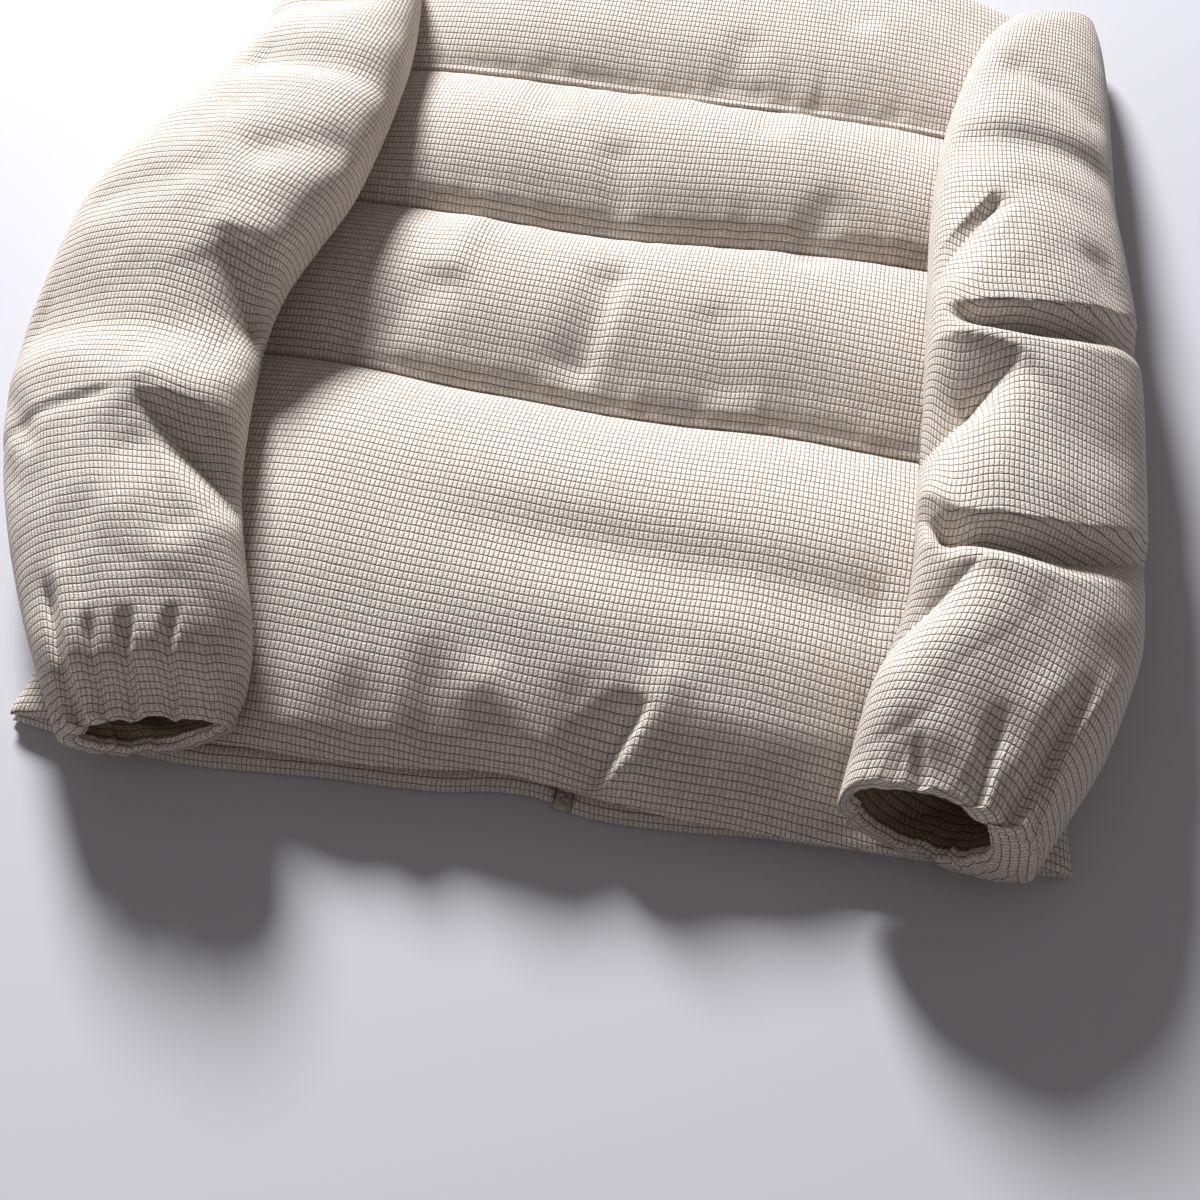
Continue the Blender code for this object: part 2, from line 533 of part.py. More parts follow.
def build_collar(looks):
    """A stand collar pressed flat: a padded band from one side of the zip round to the other."""
    def surface(half, thick, u, v):
        angle = (2 * u - 1) * math.pi                       # 0 at the middle of the back
        sine, cosine = np.sin(angle), np.cos(angle)
        x = half * np.sign(sine) * np.abs(sine) ** 0.62
        z = 0.0160 + np.where(cosine >= 0, thick[0], -thick[1]) * np.abs(cosine) ** 0.62
        opening = ZIP_HALF + GAP
        x = np.where((cosine < 0) & (np.abs(x) < opening), np.where(u < 0.5, -opening, opening), x)
        back, front = smooth(x, CROSS_LINES, 4), smooth(x, CROSS_LINES, 5)
        behind = cosine >= -0.15
        low = np.where(behind, back + 2 * GAP, front + NECK_GAP)
        top = np.where(cosine >= 0, COLLAR_TOP - 0.004 * (x / 0.1) ** 2, COLLAR_TOP - 0.004 - 0.040 * (1 - (x / 0.1) ** 2))
        low = np.where(np.abs(x) > np.where(behind, 0.078, 0.090), np.maximum(low, 0.6760), low)
        return np.stack([x, low + (top - low) * v, z], axis=-1)

    slab("collar", COLLAR_CELLS, lambda u, v: surface(0.1000 - 0.002 * v, (0.0220, 0.0152), u, v),
         lambda u, v: surface(0.0870 - 0.002 * v, (0.0075, 0.0035), u, v), looks["collar"])


def build_zip(looks):
    """The zip's closed strip between the fronts, its end showing a little under the hem."""
    def plan(u, v):
        y = ZIP_END + (0.6950 - ZIP_END) * v
        half = ZIP_HALF - 0.0002
        return smooth(y, FRONT_OPENING) + half * (2 * u - 1), y

    def layer(height):
        def points(u, v):
            x, y = plan(u, v)
            return np.stack([x, y, np.full_like(x, height)], axis=-1)
        return points

    slab("front_zip", (2, 22), layer(ZIP_HIGH), layer(ZIP_LOW), looks["zip"])


for old in list(bpy.data.objects):
    bpy.data.objects.remove(old, do_unlink=True)
jacket = bpy.data.collections.new("padded_jacket")
bpy.context.scene.collection.children.link(jacket)
LOOKS = {key: material(f"waffle_cloth_{key}", [c * shade for c in CLOTH], 0.9) for key, shade in CLOTH_SHADES.items()}
LOOKS["zip"] = material("zip_tape", ZIP_COLOUR, 0.7)
build_fronts(LOOKS)
build_zip(LOOKS)
build_back(LOOKS)
build_collar(LOOKS)
build_sleeves(LOOKS)
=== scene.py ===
"""Padded jacket in waffle corduroy, laid face down with its sleeves folded down its back.

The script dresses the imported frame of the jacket: each panel, sleeve and the collar
is built again as soft padded cloth with its folds, seams and gathers, in the frame's
own metres. The tables hold the garment's measurements from the middle of its hem, and
the first line of each names its columns.
"""

import logging
import math
from collections.abc import Callable, Iterable
from dataclasses import dataclass, field
from enum import Enum

import bmesh
import bpy
import numpy as np
from mathutils import Matrix, Vector


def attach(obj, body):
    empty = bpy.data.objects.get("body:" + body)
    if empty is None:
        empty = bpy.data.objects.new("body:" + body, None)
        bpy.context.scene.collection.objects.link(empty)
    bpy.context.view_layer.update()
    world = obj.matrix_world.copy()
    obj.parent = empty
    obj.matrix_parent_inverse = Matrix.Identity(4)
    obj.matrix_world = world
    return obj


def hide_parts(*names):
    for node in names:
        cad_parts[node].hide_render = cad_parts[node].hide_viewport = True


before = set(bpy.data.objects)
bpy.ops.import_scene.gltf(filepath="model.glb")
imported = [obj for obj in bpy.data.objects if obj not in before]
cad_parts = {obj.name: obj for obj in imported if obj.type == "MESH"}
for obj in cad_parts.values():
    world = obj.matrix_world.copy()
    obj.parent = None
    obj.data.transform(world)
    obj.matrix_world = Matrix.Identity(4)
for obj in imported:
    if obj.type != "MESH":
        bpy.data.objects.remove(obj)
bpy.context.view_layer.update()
LOG = logging.getLogger("padded_jacket")
Array = np.ndarray
Plan = tuple[float, float]

# Driving sizes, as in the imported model, and how far layers lie clear of each other
GAP = 0.0003
SEWN_GAP = -0.0007
REST_GAP = 0.0013
NECK_GAP = 0.0032
CENTRE_X, CENTRE_Y = -0.0223, 0.3616
FRONT_TOP, SIDE_FRONT = 0.016, 0.005
SIDE_BACK, SEAM_TOP = 0.012, 0.037
ZIP_HALF, ZIP_END, ZIP_TOP = 0.0050, -0.0010, 0.6950
COLLAR_TOP = 0.7450
CLEAR = 0.0004

# Half the body's width, a little wider at the hem's corners
OUTLINE = (
    # y, half width
    (-0.020, 0.2910), (0.000, 0.2905), (0.015, 0.2870), (0.035, 0.2840), (0.070, 0.2850), (0.130, 0.2900),
    (0.228, 0.2960), (0.320, 0.2990), (0.385, 0.2950), (0.425, 0.2720), (0.470, 0.2520), (0.520, 0.2430),
    (0.570, 0.2420), (0.610, 0.2480), (0.640, 0.2550), (0.700, 0.2560),
)

# The back's cross seams, its upper edge and the fronts' upper edge
CROSS_LINES = (
    # x, lower seam, upper seam, yoke seam, back's upper edge, fronts' upper edge
    (-0.300, 0.250, 0.380, 0.506, 0.624, 0.624),
    (-0.255, 0.249, 0.379, 0.505, 0.633, 0.633),
    (-0.165, 0.247, 0.377, 0.503, 0.659, 0.659),
    (-0.095, 0.240, 0.374, 0.501, 0.6750, 0.6750),
    (-0.050, 0.238, 0.372, 0.500, 0.6690, 0.6300),
    (0.000, 0.236, 0.373, 0.500, 0.6660, 0.6120),
    (0.050, 0.237, 0.378, 0.501, 0.6690, 0.6300),
    (0.095, 0.240, 0.382, 0.502, 0.6750, 0.6750),
    (0.165, 0.239, 0.385, 0.504, 0.659, 0.659),
    (0.255, 0.241, 0.387, 0.506, 0.633, 0.633),
    (0.300, 0.242, 0.388, 0.507, 0.624, 0.624),
)

# The back's hem, lifted off the fronts in the middle
BACK_HEM = (
    # x, y of the edge, height of its lower side, drop of its upper side
    (-0.292, -0.002, 0.0070, 0.012), (-0.230, -0.003, 0.0110, 0.006), (-0.160, -0.002, 0.0185, 0.002),
    (-0.110, -0.003, 0.0215, 0.000), (-0.060, 0.001, 0.0225, 0.000), (-0.015, 0.007, 0.0225, 0.001),
    (0.030, 0.003, 0.0215, 0.002), (0.080, 0.000, 0.0190, 0.004), (0.130, 0.001, 0.0150, 0.008),
    (0.175, 0.002, 0.0105, 0.013), (0.230, 0.006, 0.0080, 0.017), (0.292, 0.012, 0.0066, 0.017),
)

# The fronts' hem, seen under the back's
FRONT_HEM = (
    # x, y of the edge
    (-0.292, -0.004), (-0.230, -0.011), (-0.180, -0.012), (-0.145, -0.009), (-0.110, -0.006),
    (-0.068, -0.004), (-0.045, -0.002), (-0.020, 0.003), (0.009, 0.003), (0.027, -0.002), (0.045, -0.003),
    (0.082, -0.001), (0.122, 0.003), (0.160, 0.005), (0.220, 0.007), (0.292, 0.011),
)

# The line where the fronts meet
FRONT_OPENING = (
    # y, x
    (-0.030, 0.018), (0.020, 0.018), (0.120, 0.012), (0.260, 0.004), (0.350, 0.0005), (0.450, 0.0),
    (0.550, 0.0), (0.760, 0.0),
)

# Height of each quilted channel of the back along its middle
CHANNELS = {
    # share of the channel from its lower seam to its upper one, height
    "back_hem_panel": (
        (0.00, 0.036), (0.05, 0.043), (0.12, 0.051), (0.24, 0.059), (0.38, 0.065), (0.60, 0.067),
        (0.78, 0.062), (0.89, 0.053), (0.96, 0.044), (1.00, SEAM_TOP),
    ),
    "back_mid_panel": (
        (0.00, SEAM_TOP), (0.06, 0.044), (0.18, 0.051), (0.40, 0.058), (0.60, 0.058), (0.82, 0.051),
        (0.94, 0.043), (1.00, SEAM_TOP),
    ),
    "back_upper_panel": (
        (0.00, SEAM_TOP), (0.06, 0.044), (0.18, 0.051), (0.40, 0.057), (0.60, 0.057), (0.82, 0.050),
        (0.94, 0.043), (1.00, SEAM_TOP),
    ),
    "back_yoke": (
        (0.00, SEAM_TOP), (0.07, 0.043), (0.20, 0.049), (0.45, 0.050), (0.70, 0.044), (0.90, 0.036),
        (1.00, 0.028),
    ),
}

# Height that the sleeves lie at along the back's middle, over the crests of its channels
BEDDING = (
    # y, height
    (-0.020, 0.038), (0.000, 0.041), (0.010, 0.048), (0.022, 0.055), (0.045, 0.0635), (0.080, 0.0685),
    (0.150, 0.0690), (0.200, 0.0670), (0.250, 0.0625), (0.310, 0.0600), (0.380, 0.0590), (0.450, 0.0590),
    (0.520, 0.0555), (0.580, 0.0525), (0.640, 0.0470), (0.700, 0.0420),
)

# Where the cuffs press the back down
PRESSED = (
    # x, y, half length across, half length along, depth
    (0.225, 0.012, 0.080, 0.070, 0.018),
    (-0.205, 0.008, 0.070, 0.065, 0.012),
)

# Sleeves as rings from the cuff to the shoulder. The wall thins to the cuff.
SLEEVES = {
    # inner x, inner y, outer x, outer y, inner height, outer height, rise, wall, lean
    "right": (
        (0.161, 0.015, 0.265, -0.003, 0.040, 0.027, 0.046, 0.0055, 0.006),
        (0.164, 0.042, 0.278, 0.025, 0.048, 0.031, 0.050, 0.0065, 0.005),
        (0.168, 0.069, 0.293, 0.057, 0.056, 0.036, 0.052, 0.0085, 0.003),
        (0.176, 0.095, 0.303, 0.090, 0.064, 0.036, 0.053, 0.0150, 0.002),
        (0.181, 0.120, 0.311, 0.124, 0.070, 0.035, 0.052, 0.0200, 0.001),
        (0.182, 0.148, 0.312, 0.157, 0.073, 0.034, 0.050, 0.0230, 0.000),
        (0.180, 0.176, 0.312, 0.188, 0.074, 0.035, 0.052, 0.0240, 0.000),
        (0.179, 0.206, 0.311, 0.219, 0.075, 0.036, 0.052, 0.0230, 0.000),
        (0.178, 0.238, 0.309, 0.251, 0.075, 0.036, 0.053, 0.0230, 0.000),
        (0.176, 0.272, 0.307, 0.286, 0.075, 0.036, 0.054, 0.0240, 0.000),
        (0.174, 0.306, 0.304, 0.321, 0.074, 0.036, 0.054, 0.0240, 0.000),
        (0.172, 0.342, 0.300, 0.358, 0.073, 0.035, 0.052, 0.0220, 0.000),
        (0.170, 0.382, 0.294, 0.400, 0.071, 0.033, 0.049, 0.0200, 0.000),
        (0.170, 0.422, 0.288, 0.443, 0.068, 0.030, 0.046, 0.0190, 0.000),
        (0.173, 0.470, 0.285, 0.495, 0.064, 0.026, 0.042, 0.0180, 0.000),
        (0.181, 0.520, 0.282, 0.552, 0.059, 0.023, 0.036, 0.0170, 0.000),
        (0.191, 0.565, 0.277, 0.603, 0.052, 0.021, 0.028, 0.0160, 0.000),
        (0.205, 0.598, 0.270, 0.638, 0.044, 0.021, 0.018, 0.0150, 0.000),
    ),
    "left": (
        (-0.158, 0.000, -0.252, -0.021, 0.038, 0.032, 0.026, 0.0060, 0.004),
        (-0.154, 0.020, -0.266, 0.002, 0.047, 0.034, 0.042, 0.0065, 0.002),
        (-0.158, 0.048, -0.290, 0.039, 0.058, 0.032, 0.046, 0.0085, 0.001),
        (-0.170, 0.080, -0.313, 0.080, 0.066, 0.030, 0.048, 0.0150, 0.001),
        (-0.184, 0.122, -0.335, 0.128, 0.072, 0.030, 0.049, 0.0210, 0.001),
        (-0.191, 0.156, -0.347, 0.166, 0.074, 0.030, 0.052, 0.0240, 0.000),
        (-0.196, 0.190, -0.353, 0.202, 0.075, 0.030, 0.053, 0.0240, 0.000),
        (-0.200, 0.228, -0.356, 0.240, 0.075, 0.030, 0.054, 0.0240, 0.000),
        (-0.198, 0.264, -0.357, 0.276, 0.075, 0.030, 0.055, 0.0240, 0.000),
        (-0.189, 0.300, -0.355, 0.314, 0.075, 0.031, 0.055, 0.0230, 0.000),
        (-0.179, 0.338, -0.348, 0.354, 0.074, 0.031, 0.054, 0.0210, 0.000),
        (-0.175, 0.380, -0.333, 0.400, 0.072, 0.030, 0.050, 0.0200, 0.000),
        (-0.174, 0.425, -0.313, 0.447, 0.069, 0.028, 0.046, 0.0190, 0.000),
        (-0.176, 0.473, -0.298, 0.498, 0.064, 0.025, 0.042, 0.0180, 0.000),
        (-0.183, 0.522, -0.288, 0.556, 0.059, 0.023, 0.036, 0.0170, 0.000),
        (-0.193, 0.566, -0.280, 0.604, 0.052, 0.021, 0.028, 0.0160, 0.000),
        (-0.206, 0.598, -0.271, 0.638, 0.044, 0.021, 0.018, 0.0150, 0.000),
    ),
}

# How each cuff lies
CUFFS = {
    # share of the width that the lining keeps clear of the outer edge, how far the band is drawn in
    "right": (0.20, 0.0020),
    "left": (0.06, 0.0110),
}


class FoldShape(Enum):
    """How a fold's slopes run: soft and round, or a crease with a steep side and an open one."""

    SOFT = "soft"
    CREASE = "crease"


def share(at: Array, low: float, high: float) -> Array:
    """Where at lies between low and high, from 0 to 1, with soft ends."""
    t = np.clip((at - low) / (high - low), 0.0, 1.0)
    return t * t * (3 - 2 * t)


def bell(at: Array, reach: float | Array) -> Array:
    """A bell that is 1 at 0 and has fallen to about a third at reach."""
    return np.exp(-((at / reach) ** 2))


def rounded(distance: Array, radius: float) -> Array:
    """Share of its height that an edge rounded to a radius has at a distance in from it."""
    return np.sqrt(np.clip(1 - (1 - np.clip(distance / radius, 0, 1)) ** 2, 0, 1))


def crowded(at: Array) -> Array:
    """Moves even shares from 0 to 1 closer together towards both ends."""
    return 0.5 - 0.225 * np.sin((0.5 - at) * math.pi) - (0.5 - at) * 0.55


def shares(cells: tuple[int, int]) -> tuple[Array, Array]:
    """Shares across and along at each corner of a grid of cells, from 0 to 1."""
    across, along = np.meshgrid(*(np.linspace(0, 1, count + 1) for count in cells))
    return across, along


@dataclass(frozen=True)
class Fold:
    """One fold of the cloth: a trough with a depth above zero, or a ridge below zero.

    left and right are its reaches to each side of its line at its first point, and left_end
    and right_end at its last. A crease is steep on its left. Over the share taper of its
    length it deepens from nothing, push is how far its left lip leans over it, and bow is
    how far its middle bends to the right.
    """

    first: Plan
    last: Plan
    depth: float
    left: float
    right: float
    left_end: float = 0.0
    right_end: float = 0.0
    shape: FoldShape = FoldShape.SOFT
    taper: float = 0.0
    push: float = 0.0
    bow: float = 0.0

    def place(self, x: Array, y: Array) -> tuple[Array, Array, Array]:
        """Where points lie against the fold.

        Args:
            x, y: plan points.

        Returns:
            The distance to the left of the line, the reach on that side, and a share of
            the fold's depth that fades past its ends.
        """
        dx, dy = self.last[0] - self.first[0], self.last[1] - self.first[1]
        length = math.hypot(dx, dy)
        along = ((x - self.first[0]) * dx + (y - self.first[1]) * dy) / length**2
        off = ((y - self.first[1]) * dx - (x - self.first[0]) * dy) / length
        beyond = np.maximum(0, np.maximum(-along, along - 1)) * length
        part = np.clip(along, 0, 1)
        off = off + self.bow * 4 * part * (1 - part)
        left = self.left + ((self.left_end or self.left) - self.left) * part
        right = self.right + ((self.right_end or self.right) - self.right) * part
        fade = 0.007 if self.shape is FoldShape.CREASE else 0.012
        window = bell(beyond, fade)
        if self.taper:
            window = window * share(along, 0.0, self.taper)
        return off, np.where(off > 0, left, right), window

    def dip(self, x: Array, y: Array) -> Array:
        """How much the fold lowers the cloth at x, y.

        Args:
            x, y: plan points.

        Returns:
            The depth at each point, below zero on a ridge.
        """
        off, reach, window = self.place(x, y)
        at = np.abs(off) / reach
        if self.shape is FoldShape.CREASE:
            steep, open_side = 0.66, 1.6
            return self.depth * np.clip(1 - at, 0, 1) ** np.where(off > 0, steep, open_side) * window
        return self.depth * bell(at, 1.0) * window

    def lean(self, x: Array, y: Array) -> tuple[Array, Array]:
        """How far the fold's left lip moves over the trough at x, y, as two steps in plan.

        Args:
            x, y: plan points.

        Returns:
            The steps in x and in y.
        """
        off, reach, window = self.place(x, y)
        dx, dy = self.last[0] - self.first[0], self.last[1] - self.first[1]
        length = math.hypot(dx, dy)
        step = self.push * bell(off - reach, 0.75 * reach) * window * (off > 0)
        return step * dy / length, -step * dx / length


@dataclass(frozen=True)
class Wedge:
    """A pleat that opens from a point: its wall falls from one roll's lip to the next roll's edge.

    The lip runs from the apex to lip_end and the valley from the apex to valley_end. The
    valley has its full depth from reach on, the next roll rises again over right, and crest
    is how far the lip stands up.
    """

    apex: Plan
    valley_end: Plan
    lip_end: Plan
    depth: float
    reach: float
    right: float = 0.012
    crest: float = 0.0020

    def inside(self, x: Array, y: Array, end: Plan, other: Plan) -> Array:
        """Distance from the line from the apex to one end.

        Args:
            x, y: plan points.
            end: the line's far end.
            other: the other line's far end.

        Returns:
            The distance, above zero on the other line's side.
        """
        dx, dy = end[0] - self.apex[0], end[1] - self.apex[1]
        off = ((y - self.apex[1]) * dx - (x - self.apex[0]) * dy) / math.hypot(dx, dy)
        other_off = (other[1] - self.apex[1]) * dx - (other[0] - self.apex[0]) * dy
        return off * math.copysign(1.0, other_off)

    def dip(self, x: Array, y: Array) -> Array:
        """How much the pleat lowers the cloth at x, y.

        Args:
            x, y: plan points.

        Returns:
            The depth at each point.
        """
        from_valley = self.inside(x, y, self.valley_end, self.lip_end)
        from_lip = self.inside(x, y, self.lip_end, self.valley_end)
        dx, dy = self.valley_end[0] - self.apex[0], self.valley_end[1] - self.apex[1]
        length = math.hypot(dx, dy)
        along = ((x - self.apex[0]) * dx + (y - self.apex[1]) * dy) / length
        below_lip, above_valley = np.clip(from_lip, 0, None), np.clip(from_valley, 0, None)
        wall = below_lip / (below_lip + above_valley + 1e-5)
        beyond = np.exp(np.minimum(from_valley, 0) / self.right) * (from_lip > 0)
        deep = self.depth * np.clip(np.hypot(x - self.apex[0], y - self.apex[1]) / self.reach, 0, 1)
        slopes = np.where(from_valley > 0, wall**0.8, beyond * share(along, -0.004, 0.010))
        slopes = slopes * (1 - share(along, length, length + 0.020))
        crest = self.crest * bell(from_lip, 0.007) * (from_valley > 0)
        return deep * slopes - crest * share(along, 0.0, 0.015) * (1 - share(along, 0.03, 0.07))


CREASE = FoldShape.CREASE

# Folds of the back, placed from the photograph
BACK_FOLDS = (
    # first, last, depth, reaches left and right at the first point and at the last, shape, taper, push, bow
    Fold((0.056, 0.050), (0.028, -0.006), 0.0110, 0.006, 0.018, 0.008, 0.036, CREASE, 0.30),
    Fold((0.066, 0.056), (0.048, 0.000), -0.0030, 0.012, 0.010),
    Fold((-0.068, 0.064), (-0.052, 0.008), 0.0045, 0.014, 0.011, taper=0.6),
    Fold((-0.104, 0.048), (-0.092, 0.000), 0.0035, 0.014, 0.011, taper=0.6),
    Fold((0.012, 0.060), (0.024, 0.024), 0.0026, 0.014, 0.010, taper=0.6),
    Fold((-0.028, 0.040), (0.004, 0.008), -0.0035, 0.012, 0.012),
    Fold((0.098, 0.050), (0.090, 0.010), 0.0020, 0.016, 0.016, taper=0.6),
    Fold((-0.130, 0.132), (0.165, 0.124), 0.0060, 0.020, 0.028, taper=0.5),
    Fold((-0.014, 0.318), (-0.022, 0.262), 0.0055, 0.009, 0.018),
    Fold((0.052, 0.300), (0.066, 0.262), 0.0030, 0.014, 0.014),
    Fold((-0.109, 0.372), (-0.112, 0.316), -0.0040, 0.013, 0.016),
    Fold((-0.120, 0.300), (-0.150, 0.262), 0.0030, 0.016, 0.018),
    Fold((0.100, 0.372), (0.108, 0.408), 0.0035, 0.012, 0.014),
    Fold((-0.020, 0.378), (-0.030, 0.420), 0.0030, 0.012, 0.015),
    Fold((0.060, 0.470), (0.050, 0.505), 0.0030, 0.012, 0.014),
    Fold((-0.080, 0.462), (-0.090, 0.505), 0.0030, 0.014, 0.012),
    Fold((0.030, 0.500), (0.036, 0.545), 0.0030, 0.013, 0.013),
    Fold((-0.060, 0.640), (-0.080, 0.600), 0.0030, 0.014, 0.014),
    Fold((0.080, 0.640), (0.110, 0.590), 0.0030, 0.014, 0.014),
)

# Folds of the sleeves, placed from the photograph up to the shoulder
SLEEVE_FOLDS = {
    # first, last, depth, reaches left and right at the first point and at the last, shape, taper, push, bow
    "right": (
        Fold((0.178, 0.292), (0.303, 0.333), 0.0220, 0.009, 0.014, 0.014, 0.024, CREASE, 0.16, 0.004, 0.016),
        Wedge((0.226, 0.268), (0.176, 0.200), (0.178, 0.277), 0.0320, 0.042, 0.009, 0.0),
        Fold((0.198, 0.148), (0.307, 0.181), 0.0220, 0.018, 0.018, 0.010, 0.024, CREASE, 0.0, 0.005, 0.012),
        Fold((0.172, 0.174), (0.198, 0.150), 0.0160, 0.008, 0.010, 0.013, 0.016, CREASE, 0.0, 0.004),
        Wedge((0.216, 0.136), (0.174, 0.088), (0.174, 0.147), 0.0270, 0.036, 0.009, 0.0),
        Fold((0.232, 0.060), (0.221, -0.006), 0.0060, 0.006, 0.009, 0.005, 0.007, CREASE, 0.35),
        Fold((0.279, 0.088), (0.238, -0.004), 0.0080, 0.006, 0.010, 0.005, 0.008, CREASE, 0.35),
        Fold((0.292, 0.088), (0.250, 0.004), -0.0045, 0.009, 0.008),
        Fold((0.256, 0.066), (0.232, 0.004), -0.0030, 0.010, 0.010),
        Fold((0.190, 0.040), (0.200, 0.002), 0.0040, 0.006, 0.008, 0.005, 0.006, CREASE, 0.35),
        Fold((0.262, 0.050), (0.252, 0.000), 0.0040, 0.005, 0.006, 0.004, 0.005, CREASE, 0.35),
        Fold((0.176, 0.328), (0.203, 0.378), 0.0090, 0.013, 0.022, 0.008, 0.012, CREASE, 0.0, 0.002),
        Fold((0.268, 0.356), (0.296, 0.318), 0.0045, 0.012, 0.015),
        Fold((0.186, 0.440), (0.268, 0.452), 0.0060, 0.012, 0.020),
        Fold((0.262, 0.500), (0.214, 0.520), 0.0050, 0.014, 0.016),
    ),
    "left": (
        Wedge((-0.232, 0.264), (-0.192, 0.196), (-0.178, 0.266), 0.0300, 0.045, 0.010),
        Fold((-0.230, 0.274), (-0.184, 0.276), -0.0040, 0.014, 0.007),
        Fold((-0.335, 0.216), (-0.216, 0.206), 0.0120, 0.042, 0.024),
        Wedge((-0.248, 0.155), (-0.182, 0.106), (-0.172, 0.146), 0.0260, 0.045, 0.010),
        Fold((-0.244, 0.164), (-0.184, 0.157), -0.0035, 0.016, 0.007),
        Fold((-0.236, 0.122), (-0.204, 0.082), 0.0040, 0.010, 0.014),
        Fold((-0.334, 0.138), (-0.270, 0.153), 0.0025, 0.006, 0.012, 0.005, 0.010, CREASE, 0.0),
        Fold((-0.338, 0.164), (-0.312, 0.134), 0.0050, 0.007, 0.008),
        Fold((-0.340, 0.140), (-0.316, 0.112), 0.0035, 0.006, 0.007),
        Fold((-0.272, 0.052), (-0.236, -0.020), 0.0085, 0.008, 0.005, 0.006, 0.005, CREASE, 0.30),
        Fold((-0.258, 0.046), (-0.226, -0.014), -0.0030, 0.007, 0.007),
        Fold((-0.238, 0.032), (-0.222, -0.020), 0.0050, 0.006, 0.007, 0.004, 0.005, CREASE, 0.30),
        Fold((-0.216, 0.034), (-0.208, -0.018), 0.0080, 0.006, 0.008, 0.005, 0.006, CREASE, 0.30),
        Fold((-0.192, 0.040), (-0.188, -0.012), 0.0060, 0.006, 0.008, 0.005, 0.006, CREASE, 0.30),
        Fold((-0.172, 0.030), (-0.170, -0.008), 0.0040, 0.006, 0.007, 0.004, 0.005, CREASE, 0.30),
        Fold((-0.230, 0.340), (-0.190, 0.354), 0.0060, 0.014, 0.020),
        Fold((-0.318, 0.300), (-0.262, 0.318), 0.0035, 0.014, 0.018),
        Fold((-0.176, 0.420), (-0.262, 0.436), 0.0070, 0.014, 0.020),
        Fold((-0.280, 0.500), (-0.214, 0.512), 0.0050, 0.014, 0.018),
    ),
}


def smooth(at: Array, table: Iterable, column: int = 1) -> Array:
    """A smooth curve through one column of a table.

    Args:
        at: where to read the curve, in the table's first column.
        table: rows of numbers, in the order of their first column.
        column: the column that the curve runs through.

    Returns:
        The curve's values.
    """
    rows = np.asarray(table, float)
    x, y = rows[:, 0], rows[:, column]
    slope = np.gradient(y, x)
    at = np.clip(at, x[0], x[-1])
    i = np.clip(np.searchsorted(x, at, side="right") - 1, 0, len(x) - 2)
    h = x[i + 1] - x[i]
    t = (at - x[i]) / h
    return ((2 * t**3 - 3 * t**2 + 1) * y[i] + (t**3 - 2 * t**2 + t) * h * slope[i]
            + (3 * t**2 - 2 * t**3) * y[i + 1] + (t**3 - t**2) * h * slope[i + 1])


def ripple(at: Array, pitch: float, seed: int) -> Array:
    """Uneven waves along a line, from -1 to 1.

    Args:
        at: distances in metres.
        pitch: the waves' rough spacing in metres.
        seed: picks the waves, so each seam has its own.

    Returns:
        The waves' heights.
    """
    knots = np.random.default_rng(seed).uniform(-1, 1, 512)
    step = np.asarray(at) / pitch + 128
    i = np.floor(step).astype(int)
    t = step - i
    t = t * t * (3 - 2 * t)
    return knots[i % 512] * (1 - t) + knots[(i + 1) % 512] * t


def swell(x: Array, y: Array, pitch: float, seed: int) -> Array:
    """Uneven soft hills over the plan, from -1 to 1.

    Args:
        x, y: plan points.
        pitch: the hills' rough spacing in metres.
        seed: picks the hills.

    Returns:
        The hills' heights.
    """
    knots = np.random.default_rng(seed).uniform(-1, 1, (128, 128))
    a, b = x / pitch + 64, y / pitch + 64
    i, j = np.floor(a).astype(int), np.floor(b).astype(int)
    s, t = a - i, b - j
    s, t = s * s * (3 - 2 * s), t * t * (3 - 2 * t)
    i, j, k, m = i % 128, j % 128, (i + 1) % 128, (j + 1) % 128
    return (knots[i, j] * (1 - s) * (1 - t) + knots[k, j] * s * (1 - t)
            + knots[i, m] * (1 - s) * t + knots[k, m] * s * t)


